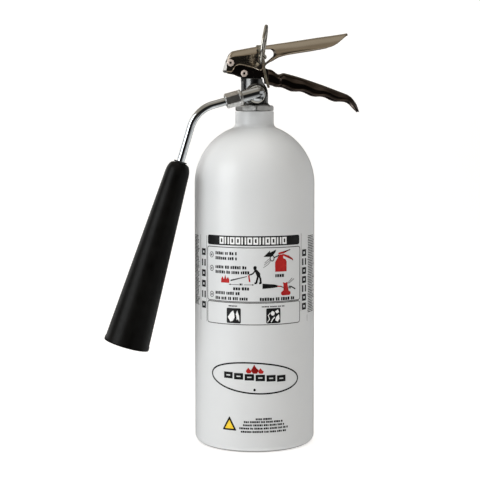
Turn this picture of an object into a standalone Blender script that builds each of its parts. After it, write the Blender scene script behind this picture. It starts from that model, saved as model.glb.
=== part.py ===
"""A hand-held carbon-dioxide fire extinguisher with a squeeze-grip valve and a swivelling discharge horn.

The origin is the centre of the flat base and +Z is up. The grip points along +X, the horn hangs on
the -X side and the valve's outlet faces -Y. Lengths are written in millimetres and turned into
metres by MM. Pieces that touch on the real object keep a gap of GAP.
"""

import math

import bmesh
import bpy
from mathutils import Matrix, Vector

MM = 0.001
GAP = 0.3 * MM

# Cylinder
CYLINDER_RADIUS = 66 * MM
FOOT_ROUND = 7.5 * MM
DOME_CENTRE_Z = 285.5 * MM
WALL = 5 * MM
BASE_WALL = 8 * MM
NECK_RADIUS = 21.1 * MM
NECK_FILLET = 6 * MM
NECK_TOP_Z = 364.8 * MM
NECK_BORE = 13 * MM
SEAL_SEAT_RADIUS = 16 * MM
SEAL_SEAT_Z = 362.2 * MM

# Valve
SPIGOT_RADIUS = 12.5 * MM
SPIGOT_END_Z = 342 * MM
FLANGE_RADIUS = 21.1 * MM
FLANGE_Z = (NECK_TOP_Z + GAP, 371.3 * MM)
COLUMN_RADIUS = 14.8 * MM
COLUMN_TOP_Z = 400.4 * MM
HEAD_HALF_WIDTH = 7.3 * MM
HEAD_TOP_Z = 412.5 * MM
CHAMBER_RADIUS = 8.5 * MM
SEAT_Z = 371.7 * MM
SEAT_BORE = 3.6 * MM
GUIDE_BORE = 3.9 * MM
ROD_BORE = 2.8 * MM
OUTLET_Z = 383 * MM
OUTLET_RADIUS = 11 * MM
OUTLET_FACE_Y = -19 * MM
BURST_Z = 384 * MM
BURST_FACE_Y = 18.5 * MM

# Stem and spring
STEM_ROD_RADIUS = 2.4 * MM
STEM_TOP_Z = 432.5 * MM
COLLAR_Z = (366.5 * MM, 368.7 * MM)
RETAINER_TOP_Z = 349 * MM
SPRING_RADIUS = 5.2 * MM
SPRING_WIRE = 0.7 * MM
SPRING_TURNS = 6

# Lever, handle, rivets and pin
SHEET = 1.6 * MM
LEVER_PIVOT = Vector((-27.5, 0, 417.1)) * MM
HANDLE_RIVET = Vector((-12.4, 0, 405.8)) * MM
LEVER_HALF_WIDTH = 11.1 * MM
BRACKET_HALF_WIDTH = 9.2 * MM
THROUGH = 16 * MM
RIVET_SHANK = 1.9 * MM
RIVET_HEAD = 3.5 * MM
PIN_CENTRE = Vector((6.6, 0, 423.5)) * MM
PIN_RADIUS = 2 * MM
PIN_EYE = Vector((6.6, -18.5, 423.5)) * MM
EYE_RADIUS = 3.2 * MM
EYE_WIRE = 1.3 * MM
RING_RADIUS = 20 * MM
RING_WIRE = 1.5 * MM
RING_REACH = 16.1 * MM
RING_LEAN = math.radians(8.5)
RING_TURN = math.radians(10)

# Outlet swivel, tube and horn, all in one plane in front of the valve
SWIVEL = Vector((0, -28, 383)) * MM
SWIVEL_BORE = 6 * MM
ARM_RISE = 1.8 * MM
ARM_ANGLE = math.radians(195.5)
ARM_RADIUS = 6.4 * MM
ARM_LENGTH = 17.5 * MM
NUT_SPAN = (18 * MM, 36 * MM)
TUBE_RADIUS = 4.3 * MM
TUBE_BORE = 3.1 * MM
TUBE_BEND = 35 * MM
HORN_TOP = Vector((-83.8, -28, 309.5)) * MM
HORN_ANGLE = math.radians(16.7)
HORN_LENGTH = 204.4 * MM
HORN_TOP_RADIUS = 7.75 * MM
HORN_SHOULDER = (13.2 * MM, 14 * MM)
HORN_MOUTH_RADIUS = 24.75 * MM
HORN_WALL = 2.2 * MM

# Labels
LABEL_THICKNESS = 0.3 * MM
LABEL_ANGLE = math.radians(-98.5)

ARM_DIRECTION = Vector((math.cos(ARM_ANGLE), 0, math.sin(ARM_ANGLE)))
ARM_START = SWIVEL + Vector((0, 0, ARM_RISE))
HORN_DIRECTION = Vector((-math.sin(HORN_ANGLE), 0, -math.cos(HORN_ANGLE)))


def clear_scene():
    for obj in list(bpy.data.objects):
        bpy.data.objects.remove(obj, do_unlink=True)


def finish(name, colour, metallic, roughness):
    """A plain Principled material."""
    material = bpy.data.materials.new(name)
    material.use_nodes = True
    shader = material.node_tree.nodes["Principled BSDF"]
    shader.inputs["Base Color"].default_value = (*colour, 1)
    shader.inputs["Metallic"].default_value = metallic
    shader.inputs["Roughness"].default_value = roughness
    return material


# Small geometry helpers


def in_metres(points):
    return [tuple(value * MM for value in point) for point in points]


def arc(centre, radius, start, end, steps):
    """Points on a circle from one angle to another, in degrees, both ends included."""
    angles = [math.radians(start + (end - start) * i / steps) for i in range(steps + 1)]
    return [(centre[0] + radius * math.cos(a), centre[1] + radius * math.sin(a)) for a in angles]


def rounded_bend(start, corner, end, radius, steps):
    """The path start, corner, end, with its corner rounded to a radius."""
    before = (start - corner).normalized()
    after = (end - corner).normalized()
    half = before.angle(after) / 2
    centre = corner + (before + after).normalized() * (radius / math.sin(half))
    first = (corner + before * (radius / math.tan(half)) - centre).normalized()
    last = (corner + after * (radius / math.tan(half)) - centre).normalized()
    bend = [centre + first.slerp(last, i / steps) * radius for i in range(steps + 1)]
    return [start, *bend, end]


def spun(profile, steps=32, closed=False):
    """A (radius, height) profile turned about Z. An open profile starts and ends on the axis."""
    bm = bmesh.new()
    points = [bm.verts.new((radius, 0, height)) for radius, height in profile]
    pairs = list(zip(points, points[1:]))
    if closed:
        pairs.append((points[-1], points[0]))
    for pair in pairs:
        bm.edges.new(pair)
    geometry = bm.verts[:] + bm.edges[:]
    bmesh.ops.spin(bm, geom=geometry, axis=(0, 0, 1), angle=math.tau, steps=steps, use_merge=True)
    return bm


def rod(start, end, radius, steps=24):
    """A plain round rod between two points."""
    length = (end - start).length
    bm = spun([(0, 0), (radius, 0), (radius, length), (0, length)], steps)
    return aimed(bm, start, end - start)


def ring(centre, direction, radius, wire, steps=24, sides=6):
    """A torus about an axis."""
    bm = spun(arc((radius, 0), wire, 0, 360 - 360 / sides, sides - 1), steps, closed=True)
    return aimed(bm, centre, direction)


def aimed(bm, start, direction):
    """Moves geometry made on +Z to a start point, along a direction."""
    turn = Vector((0, 0, 1)).rotation_difference(direction).to_matrix().to_4x4()
    bmesh.ops.transform(bm, matrix=Matrix.Translation(start) @ turn, verts=bm.verts)
    return bm


def lofted(sections):
    """A solid through closed sections that all have the same number of points."""
    bm = bmesh.new()
    loops = [[bm.verts.new(point) for point in section] for section in sections]
    count = len(loops[0])
    for low, high in zip(loops, loops[1:]):
        for i in range(count):
            j = (i + 1) % count
            bm.faces.new((low[i], low[j], high[j], high[i]))
    bm.faces.new(loops[0])
    bm.faces.new(loops[-1])
    bmesh.ops.triangulate(bm, faces=bm.faces)
    return bm


def prism_y(outline, low, high):
    """An outline in X and Z, given a thickness along Y."""
    return lofted([[(x, y, z) for x, z in outline] for y in (low, high)])


def prism_x(outline, low, high):
    """An outline in Y and Z, given a thickness along X."""
    return lofted([[(x, y, z) for y, z in outline] for x in (low, high)])


def channel(stations):
    """A sheet-metal channel, open below, through stations along X.

    A station is (x, crest height, height where the arched top meets the flat sides, height of the
    lower edge, half width), in millimetres.
    """
    sections = []
    for station in stations:
        x, crest, spring, edge, half = (value * MM for value in station)
        section = []
        for inset in (0, SHEET):
            across = half - inset
            rise = crest - inset - spring
            side = [(across * math.cos(a), spring + rise * math.sin(a)) for a in half_turn(6)]
            run = [(across, edge), *side, (-across, edge)]
            section += run if inset == 0 else run[::-1]
        sections.append([(x, y, z) for y, z in section])
    return lofted(sections)


def half_turn(steps):
    return [math.pi * i / steps for i in range(steps + 1)]


# Objects


def add(name, bm, material, pivot=None):
    """An object from geometry in world coordinates. A moving piece hangs on its joint's empty."""
    bmesh.ops.remove_doubles(bm, verts=bm.verts, dist=1e-7)
    bmesh.ops.recalc_face_normals(bm, faces=bm.faces)
    if pivot:
        bmesh.ops.translate(bm, verts=bm.verts, vec=-pivot.location)
    mesh = bpy.data.meshes.new(name)
    bm.to_mesh(mesh)
    bm.free()
    mesh.shade_smooth()
    mesh.set_sharp_from_angle(angle=math.radians(35))
    mesh.materials.append(material)
    obj = bpy.data.objects.new(name, mesh)
    bpy.context.scene.collection.objects.link(obj)
    obj.parent = pivot
    return obj


def combine(obj, operation, shapes):
    """Cuts shapes from an object, or joins them to it."""
    for number, bm in enumerate(shapes):
        material = obj.data.materials[0]
        tool = add(f"{obj.name}_{operation.lower()}_{number}", bm, material, obj.parent)
        tool.hide_render = True
        tool.display_type = "WIRE"
        modifier = obj.modifiers.new(tool.name, "BOOLEAN")
        modifier.operation = operation
        modifier.object = tool
    return obj


def joint_empty(name, location):
    empty = bpy.data.objects.new(name, None)
    empty.location = location
    bpy.context.scene.collection.objects.link(empty)
    return empty


# Cylinder


def make_cylinder(paint, rubber):
    radius = CYLINDER_RADIUS
    reach = math.degrees(math.acos((NECK_RADIUS + NECK_FILLET) / (radius + NECK_FILLET)))
    fillet_z = DOME_CENTRE_Z + (radius + NECK_FILLET) * math.sin(math.radians(reach))
    fillet_centre = (NECK_RADIUS + NECK_FILLET, fillet_z)
    outside = [(0, 0)]
    outside += arc((radius - FOOT_ROUND, FOOT_ROUND), FOOT_ROUND, -90, 0, 4)
    outside += arc((0, DOME_CENTRE_Z), radius, 0, reach, 9)
    outside += arc(fillet_centre, NECK_FILLET, 180 + reach, 180, 3)[1:]
    outside += [(NECK_RADIUS, NECK_TOP_Z)]
    inside_radius = radius - WALL
    top = math.degrees(math.acos(NECK_BORE / inside_radius))
    inside = [(SEAL_SEAT_RADIUS, NECK_TOP_Z), (SEAL_SEAT_RADIUS, SEAL_SEAT_Z), (NECK_BORE, SEAL_SEAT_Z)]
    inside += arc((0, DOME_CENTRE_Z), inside_radius, top, 0, 6)
    inside += [(inside_radius, BASE_WALL + FOOT_ROUND), (inside_radius - FOOT_ROUND, BASE_WALL)]
    inside += [(0, BASE_WALL)]
    add("cylinder", spun(outside + inside, 40), paint)
    seal_z = (SEAL_SEAT_Z + NECK_TOP_Z) / 2
    add("neck_o_ring", ring(Vector((0, 0, seal_z)), Vector((0, 0, 1)), 14.3 * MM, 0.95 * MM), rubber)


# Valve


def make_valve_body(chrome):
    column = spun(
        [
            (0, SPIGOT_END_Z),
            (SPIGOT_RADIUS, SPIGOT_END_Z),
            (SPIGOT_RADIUS, FLANGE_Z[0] + MM),
            (COLUMN_RADIUS, FLANGE_Z[0] + MM),
            (COLUMN_RADIUS, COLUMN_TOP_Z),
            (0, COLUMN_TOP_Z),
        ],
        40,
    )
    body = add("valve_body", column, chrome)
    edge = 1.2 * MM
    flange = spun(
        [
            (0, FLANGE_Z[0]),
            (FLANGE_RADIUS - edge, FLANGE_Z[0]),
            (FLANGE_RADIUS, FLANGE_Z[0] + edge),
            (FLANGE_RADIUS, FLANGE_Z[1] - edge),
            (FLANGE_RADIUS - edge, FLANGE_Z[1]),
            (0, FLANGE_Z[1]),
        ],
        8,
    )
    head = prism_y(
        in_metres([(-18.5, 397), (9.6, 397), (9.6, 412.5), (-17, 412.5), (-18.5, 411)]),
        -HEAD_HALF_WIDTH,
        HEAD_HALF_WIDTH,
    )
    pin_post = prism_y(
        in_metres([(3.2, 411), (9.5, 411), (9.5, 426.4), (8.5, 427.4), (4.2, 427.4), (3.2, 426.4)]),
        -4.5 * MM,
        4.5 * MM,
    )
    middle = Vector((0, 0, OUTLET_Z))
    outlet = rod(middle, Vector((0, OUTLET_FACE_Y, OUTLET_Z)), OUTLET_RADIUS, 28)
    burst_boss = rod(Vector((0, 0, BURST_Z)), Vector((0, BURST_FACE_Y, BURST_Z)), 8 * MM)
    combine(body, "UNION", [flange, head, pin_post, outlet, burst_boss])

    bore = spun(
        [
            (0, SPIGOT_END_Z - MM),
            (CHAMBER_RADIUS, SPIGOT_END_Z - MM),
            (CHAMBER_RADIUS, SEAT_Z),
            (SEAT_BORE, SEAT_Z),
            (SEAT_BORE, 374 * MM),
            (5 * MM, 374 * MM),
            (5 * MM, 387 * MM),
            (GUIDE_BORE, 387 * MM),
            (GUIDE_BORE, 410 * MM),
            (ROD_BORE, 410 * MM),
            (ROD_BORE, HEAD_TOP_Z + MM),
            (0, HEAD_TOP_Z + MM),
        ],
        24,
    )
    shoulder = prism_y(
        in_metres([(5.6, 401.6), (9, 396.4), (12.6, 388), (14.1, 383), (18, 383), (18, 401.6)]),
        -16 * MM,
        16 * MM,
    )
    stepped = [(0, 1), (2.3, 1), (2.3, 12.1), (5.9, 12.1), (5.9, 20), (0, 20)]
    outlet_bore = aimed(spun(in_metres(stepped), 22), middle, Vector((0, -1, 0)))
    burst_bore = rod(Vector((0, 12.05, 384)) * MM, Vector((0, 20, 384)) * MM, 4.5 * MM, 18)
    burst_way = rod(Vector((0, 13.5, 384)) * MM, Vector((0, 5.5, 366)) * MM, 1.4 * MM, 10)
    pin_hole = across_y(PIN_CENTRE, PIN_RADIUS + GAP)
    cuts = [bore, shoulder, outlet_bore, burst_bore, burst_way, rivet_hole(HANDLE_RIVET), pin_hole]
    combine(body, "DIFFERENCE", cuts)


def make_siphon(aluminium, plastic):
    retainer = spun(
        [
            (4.4 * MM, SPIGOT_END_Z - 1.5 * MM),
            (8.1 * MM, SPIGOT_END_Z - 1.5 * MM),
            (8.1 * MM, RETAINER_TOP_Z),
            (2.8 * MM, RETAINER_TOP_Z),
            (2.8 * MM, RETAINER_TOP_Z - 2 * MM),
            (4.4 * MM, RETAINER_TOP_Z - 2 * MM),
        ],
        24,
        closed=True,
    )
    add("spring_retainer", retainer, aluminium)
    top = RETAINER_TOP_Z - 2.4 * MM
    wall = [(4 * MM, 14 * MM), (4 * MM, top), (3 * MM, top), (3 * MM, 14 * MM)]
    add("siphon_tube", spun(wall, 16, closed=True), plastic)


def make_stem(pivot, brass, rubber, steel):
    stem = spun(
        [
            (0, 360 * MM),
            (2.5 * MM, 360 * MM),
            (2.5 * MM, COLLAR_Z[0]),
            (6.8 * MM, COLLAR_Z[0]),
            (6.8 * MM, COLLAR_Z[1]),
            (2 * MM, COLLAR_Z[1]),
            (2 * MM, 388 * MM),
            (3.5 * MM, 389 * MM),
            (3.5 * MM, 396 * MM),
            (2.3 * MM, 396 * MM),
            (2.3 * MM, 399 * MM),
            (3.5 * MM, 399 * MM),
            (3.5 * MM, 408.5 * MM),
            (STEM_ROD_RADIUS, 409 * MM),
            (STEM_ROD_RADIUS, STEM_TOP_Z - 1.6 * MM),
            (STEM_ROD_RADIUS * 0.7, STEM_TOP_Z - 0.5 * MM),
            (0, STEM_TOP_Z),
        ],
        16,
    )
    add("valve_stem", stem, brass, pivot)
    low = COLLAR_Z[1] + GAP
    seal = [(2.3 * MM, low), (6 * MM, low), (6 * MM, SEAT_Z - GAP), (2.3 * MM, SEAT_Z - GAP)]
    add("poppet_seal", spun(seal, 20, closed=True), rubber, pivot)
    seal_ring = ring(Vector((0, 0, 397.5)) * MM, Vector((0, 0, 1)), 3.05 * MM, 0.42 * MM, 20, 6)
    add("stem_o_ring", seal_ring, rubber, pivot)

    low = RETAINER_TOP_Z + GAP + SPRING_WIRE
    rise = COLLAR_Z[0] - GAP - SPRING_WIRE - low
    curve = bpy.data.curves.new("valve_spring", "CURVE")
    curve.dimensions = "3D"
    curve.bevel_depth = SPRING_WIRE
    curve.bevel_resolution = 1
    curve.use_fill_caps = True
    count = SPRING_TURNS * 10
    line = curve.splines.new("POLY")
    line.points.add(count)
    for i, point in enumerate(line.points):
        angle = math.tau * SPRING_TURNS * i / count
        x, y = SPRING_RADIUS * math.cos(angle), SPRING_RADIUS * math.sin(angle)
        point.co = (x, y, low + rise * i / count, 1)
    curve.materials.append(steel)
    spring = bpy.data.objects.new("valve_spring", curve)
    bpy.context.scene.collection.objects.link(spring)


def make_burst_disc(brass, steel):
    """The over-pressure disc at the back of the valve, its washer and its vented plug."""
    start = Vector((0, 0, BURST_Z))
    back = Vector((0, 1, 0))
    disc = in_metres([(0, 12.3), (4.2, 12.3), (4.2, 12.8), (0, 12.8)])
    add("burst_disc", aimed(spun(disc, 20), start, back), steel)
    washer = in_metres([(2.2, 13.1), (4.2, 13.1), (4.2, 14), (2.2, 14)])
    add("burst_disc_washer", aimed(spun(washer, 20, closed=True), start, back), brass)
    shank = in_metres([(0, 14.3), (4.2, 14.3), (4.2, 20), (0, 20)])
    plug = add("burst_disc_plug", aimed(spun(shank, 20), start, back), brass)
    hexagon = [(0, 18.8), (7, 18.8), (7.5, 19.4), (7.5, 23.4), (7, 24), (0, 24)]
    outer = aimed(spun(in_metres(hexagon), 6), start, back)
    combine(plug, "UNION", [outer])
    vent = rod(start + back * 13 * MM, start + back * 22 * MM, 1.5 * MM, 12)
    side_vent = rod(start + Vector((-9, 21.5, 0)) * MM, start + Vector((9, 21.5, 0)) * MM, 0.9 * MM, 10)
    combine(plug, "DIFFERENCE", [vent, side_vent])


# Handle, lever and pin


def make_handle(plating):
    """The fixed carry handle: two bracket plates on the valve head and a grip with finger waves."""
    neck = [
        (10.6, 411.3, 404, 395.9, 8.8),
        (16.8, 410.8, 404, 394.2, 8.8),
        (20.0, 409.6, 403, 393.4, 8.9),
        (24.2, 406.3, 400, 391.9, 9.6),
        (28.2, 405.5, 399, 391.7, 11.6),
        (31.2, 406.8, 399, 391.5, 12.5),
    ]
    first, last = 36.0, 103.0
    steps = 12
    grip = []
    for i in range(steps + 1):
        x = first + (last - first) * i / steps
        along = (x - 31.2) / (last - 31.2)
        crest = 406.8 - 24.3 * along ** 1.12
        wave = 1.1 * math.cos(math.tau * (x - 30) / 24)
        edge = 390.6 - 18.3 * along + wave
        spring = min(crest - 5.5, edge + 7.5 - 4.5 * along)
        grip.append((x, crest, max(spring, edge + 1), edge, 12.5))
    tip = [
        (107.2, 380.2, 373.5, 371.4, 11.8),
        (110.2, 377.6, 371.0, 368.4, 10.6),
        (112.6, 373.8, 368.0, 366.2, 9.2),
        (114.2, 369.6, 366.4, 364.9, 8.0),
        (115.4, 366.0, 364.2, 363.8, 7.2),
    ]
    handle = add("carry_handle", channel(neck + grip + tip), plating)
    plate = in_metres(
        [
            (-30.4, 407.4),
            (-29.2, 406.2),
            (-22, 404.9),
            (-15, 402),
            (6.3, 402),
            (11.2, 395.7),
            (12.4, 395.5),
            (12.4, 410.6),
            (4, 414.5),
            (0, 417),
            (-20, 420.8),
            (-26, 420.8),
            (-28.9, 419.8),
            (-30.4, 416.6),
        ]
    )
    inner, outer = BRACKET_HALF_WIDTH - SHEET, BRACKET_HALF_WIDTH
    plates = [prism_y(plate, -outer, -inner), prism_y(plate, inner, outer)]
    combine(handle, "UNION", plates)
    combine(handle, "DIFFERENCE", [rivet_hole(LEVER_PIVOT), rivet_hole(HANDLE_RIVET)])


def make_lever(pivot, plating):
    """The squeeze lever: an arched channel with a nose, and a window in each side for the pin."""
    stations = [
        (-31.6, 419.6, 416.6, 407.2, 11.1),
        (-29.1, 425.6, 420.6, 407.2, 11.1),
        (-25.8, 429.4, 423.2, 407.6, 11.1),
        (-22.5, 430.6, 423.8, 413.0, 11.1),
        (-18.1, 431.6, 424.2, 415.0, 11.1),
        (-11.4, 432.9, 424.9, 414.0, 11.1),
        (-1.5, 434.7, 426.2, 411.5, 11.1),
        (6.3, 435.9, 427.3, 409.3, 11.1),
        (11.7, 436.7, 428.0, 415.7, 11.1),
        (15.1, 437.2, 428.4, 418.0, 11.1),
        (25.8, 438.8, 429.8, 423.6, 11.3),
        (36.4, 440.4, 431.0, 426.8, 12.0),
        (50.0, 442.5, 432.0, 429.2, 12.5),
        (64.0, 444.7, 433.4, 431.4, 12.5),
        (76.0, 446.5, 434.9, 433.6, 12.5),
        (83.0, 447.5, 436.7, 435.3, 12.4),
        (90.0, 448.6, 440.2, 438.9, 11.6),
        (96.0, 449.5, 444.6, 443.6, 9.6),
        (100.0, 450.2, 447.6, 446.8, 7.0),
        (102.6, 450.7, 448.7, 448.0, 4.2),
    ]
    lever = add("operating_lever", channel(stations), plating, pivot)
    nose = [(-35.1, 409), (-34.2, 407.2), (-31, 406.9), (-31, 419.4), (-29.4, 423.4), (-30.4, 423.4)]
    combine(lever, "UNION", [prism_y(in_metres(nose), -10.4 * MM, 10.4 * MM)])
    window = arc((17.4, 427.9), 5, 80, -28, 4) + [(14.6, 419.4), (11.8, 417.9), (4, 416.6)]
    window += arc((2.4, 418.6), 1.4, -90, -180, 3) + arc((3, 430.6), 2, 180, 90, 3)
    opening = prism_y(in_metres(window), -THROUGH, THROUGH)
    combine(lever, "DIFFERENCE", [opening, rivet_hole(LEVER_PIVOT)])


def rivet_hole(centre):
    return across_y(centre, RIVET_SHANK + 0.2 * MM)


def across_y(centre, radius):
    """A cutter through both sides of the valve, handle, lever and seal."""
    half = Vector((0, THROUGH, 0))
    return rod(centre - half, centre + half, radius, 16)


def make_rivet(name, centre, half_length, steel):
    """A hollow rivet through two plates, with its rolled heads outside them."""
    head = 1.3 * MM
    bore = 1.1 * MM
    profile = []
    for side in (-1, 1):
        face = [
            (bore, side * (half_length + head * 0.7)),
            (bore + 0.6 * MM, side * (half_length + head)),
            (RIVET_HEAD - 0.9 * MM, side * (half_length + head)),
            (RIVET_HEAD, side * (half_length + head * 0.45)),
            (RIVET_HEAD, side * half_length),
            (RIVET_SHANK, side * half_length),
        ]
        profile += face if side < 0 else face[::-1]
    rivet = aimed(spun(profile, 20, closed=True), centre, Vector((0, 1, 0)))
    add(name, rivet, steel)


def make_pin(pivot, steel):
    tip = 16 * MM
    shank_end = PIN_EYE.y + EYE_RADIUS
    profile = [
        (0, shank_end),
        (PIN_RADIUS, shank_end),
        (PIN_RADIUS, tip - 1.5 * MM),
        (PIN_RADIUS - MM, tip),
        (0, tip),
    ]
    start = Vector((PIN_CENTRE.x, 0, PIN_CENTRE.z))
    pin = add("pull_pin", aimed(spun(profile, 16), start, Vector((0, 1, 0))), steel, pivot)
    eye = ring(PIN_EYE, ring_tangent(), EYE_RADIUS, EYE_WIRE, 20, 8)
    combine(pin, "UNION", [eye])


def ring_frame():
    """The ring's plane: the level direction away from the eye, and the upward one."""
    back = Vector((math.sin(RING_TURN), math.cos(RING_TURN), 0))
    up = Vector((math.sin(RING_LEAN), 0, math.cos(RING_LEAN)))
    up = (up - back * up.dot(back)).normalized()
    return back, up


def ring_centre():
    back, up = ring_frame()
    rise = math.sqrt(RING_RADIUS**2 - RING_REACH**2)
    return PIN_EYE - back * RING_REACH + up * rise


def ring_tangent():
    """The wire's direction where it passes through the pin's eye."""
    back, up = ring_frame()
    rise = math.sqrt(RING_RADIUS**2 - RING_REACH**2)
    return (back * rise + up * RING_REACH).normalized()


def make_ring(pivot, steel):
    back, up = ring_frame()
    add("pull_ring", ring(ring_centre(), back.cross(up), RING_RADIUS, RING_WIRE, 30, 8), steel, pivot)


def make_tamper_seal(plastic):
    """A strap over the lever, with an eyelet round the pin on each side and a loose tail in front."""
    inner, outer = LEVER_HALF_WIDTH + 0.4 * MM, LEVER_HALF_WIDTH + 1.4 * MM
    spring, crest = 427.6 * MM, 436.2 * MM
    over, under = crest + MM - spring, crest - spring
    band = [(outer * math.cos(a), spring + over * math.sin(a)) for a in half_turn(12)]
    band += [(-outer, 425 * MM), (-inner, 425 * MM)]
    band += [(inner * math.cos(a), spring + under * math.sin(a)) for a in reversed(half_turn(12))]
    band += [(inner, 425 * MM), (outer, 425 * MM)]
    seal = add("tamper_seal", prism_x(band, -1.2 * MM, 4.2 * MM), plastic)
    eyelet = [(-1, 418), (0.6, 415.4), (4.4, 415.6), (8.2, 418.8)]
    eyelet += arc((PIN_CENTRE.x / MM, PIN_CENTRE.z / MM), 4.2, -50, 70, 5)
    eyelet += [(4, 428.6), (4, 431.6), (-1, 431.6)]
    tail = [(6.6, 421), (7.3, 410), (9.6, 399.6), (12.6, 389.8)]
    tail += [(15.2, 390.4), (12.4, 400.2), (10.2, 410.2), (9.9, 421)]
    low, high = inner + 0.2 * MM, outer + 0.4 * MM
    pieces = [prism_y(in_metres(eyelet), side * high, side * low) for side in (-1, 1)]
    pieces.append(prism_y(in_metres(tail), -high + 0.2 * MM, -low - 0.2 * MM))
    combine(seal, "UNION", pieces)
    combine(seal, "DIFFERENCE", [across_y(PIN_CENTRE, PIN_RADIUS + 0.4 * MM)])


# Outlet, tube and horn


def make_outlet(brass, rubber, plastic):
    """The fixed nipple that the elbow turns on, with its washer and seal."""
    start = Vector((0, 0, OUTLET_Z))
    front = Vector((0, -1, 0))
    nipple = [(2.4, 12.3), (5.6, 12.3), (5.6, 23), (4.4, 23)]
    nipple += [(4.4, 25), (5.6, 25), (5.6, 27.5), (2.4, 27.5)]
    add("swivel_nipple", aimed(spun(in_metres(nipple), 24, closed=True), start, front), brass)
    washer = [(5.9, 19.3), (9.5, 19.3), (9.5, 20.3), (5.9, 20.3)]
    add("swivel_washer", aimed(spun(in_metres(washer), 24, closed=True), start, front), plastic)
    seal = ring(start + front * 24 * MM, front, 5.15 * MM, 0.42 * MM, 24, 6)
    add("swivel_o_ring", seal, rubber)


def make_elbow(pivot, chrome, brass):
    front = Vector((0, -1, 0))
    base = Vector((0, 0, SWIVEL.z))
    cap = [(0, 20.6), (8.2, 20.6), (8.2, 27.5), (7.4, 31), (5.4, 33.2), (0, 34)]
    elbow = add("swivel_elbow", aimed(spun(in_metres(cap), 24), base, front), chrome, pivot)
    threads = 5.4 * MM
    arm = spun(
        [
            (0, -7.4 * MM),
            (3 * MM, -6.7 * MM),
            (5.2 * MM, -4.4 * MM),
            (ARM_RADIUS, 0),
            (ARM_RADIUS, ARM_LENGTH),
            (threads, ARM_LENGTH),
            (threads, ARM_LENGTH + 8.5 * MM),
            (0, ARM_LENGTH + 8.5 * MM),
        ],
        22,
    )
    combine(elbow, "UNION", [aimed(arm, ARM_START, ARM_DIRECTION)])
    turn_bore = rod(base + front * 20 * MM, base + front * 29.5 * MM, SWIVEL_BORE, 24)
    gas_way = rod(ARM_START, ARM_START + ARM_DIRECTION * 30 * MM, 3.2 * MM, 14)
    combine(elbow, "DIFFERENCE", [turn_bore, gas_way])

    low, high = NUT_SPAN
    collar = [(0, low), (8.4 * MM, low), (8.4 * MM, low + 2.6 * MM), (0, low + 2.6 * MM)]
    nut = add("tube_nut", aimed(spun(collar, 28), ARM_START, ARM_DIRECTION), chrome, pivot)
    chamfer = 1.2 * MM
    hexagon = spun(
        [
            (0, low + 2 * MM),
            (8 * MM, low + 2 * MM),
            (8 * MM, high - chamfer),
            (8 * MM - chamfer, high),
            (0, high),
        ],
        6,
    )
    combine(nut, "UNION", [aimed(hexagon, ARM_START, ARM_DIRECTION)])
    thread_bore = rod(along_arm(low - MM), along_arm(31 * MM), threads + GAP, 20)
    tube_hole = rod(along_arm(30 * MM), along_arm(high + MM), TUBE_RADIUS + GAP, 16)
    combine(nut, "DIFFERENCE", [thread_bore, tube_hole])

    ferrule = in_metres([(4.6, 27.2), (5.4, 27.2), (5.4, 30.6), (4.6, 30.6)])
    add("tube_ferrule", aimed(spun(ferrule, 20, closed=True), ARM_START, ARM_DIRECTION), brass, pivot)


def along_arm(distance):
    return ARM_START + ARM_DIRECTION * distance


def along_horn(distance):
    """A point on the horn's axis, measured from its top towards its mouth."""
    return HORN_TOP + HORN_DIRECTION * distance


def make_horn_tube(pivot, chrome):
    """The bent tube from the nut to the inside of the horn."""
    start = along_arm(26.8 * MM)
    end = along_horn(22 * MM)
    gap = HORN_TOP - ARM_START
    side = ARM_DIRECTION.x * HORN_DIRECTION.z - ARM_DIRECTION.z * HORN_DIRECTION.x
    reach = (gap.x * HORN_DIRECTION.z - gap.z * HORN_DIRECTION.x) / side
    path = rounded_bend(start, along_arm(reach), end, TUBE_BEND, 10)
    sides = 14
    normal = Vector((0, 1, 0))
    rings = []
    for i, point in enumerate(path):
        ahead = path[min(i + 1, len(path) - 1)] - path[max(i - 1, 0)]
        across = normal.cross(ahead).normalized()
        rings.append((point, across))
    bm = bmesh.new()
    loops = []
    for radius, order in ((TUBE_RADIUS, rings), (TUBE_BORE, rings[::-1])):
        for point, across in order:
            angles = [math.tau * k / sides for k in range(sides)]
            spots = [point + (across * math.cos(a) + normal * math.sin(a)) * radius for a in angles]
            loops.append([bm.verts.new(spot) for spot in spots])
    for low, high in zip(loops, loops[1:] + loops[:1]):
        for k in range(sides):
            j = (k + 1) % sides
            bm.faces.new((low[k], low[j], high[j], high[k]))
    add("horn_tube", bm, chrome, pivot)


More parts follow.
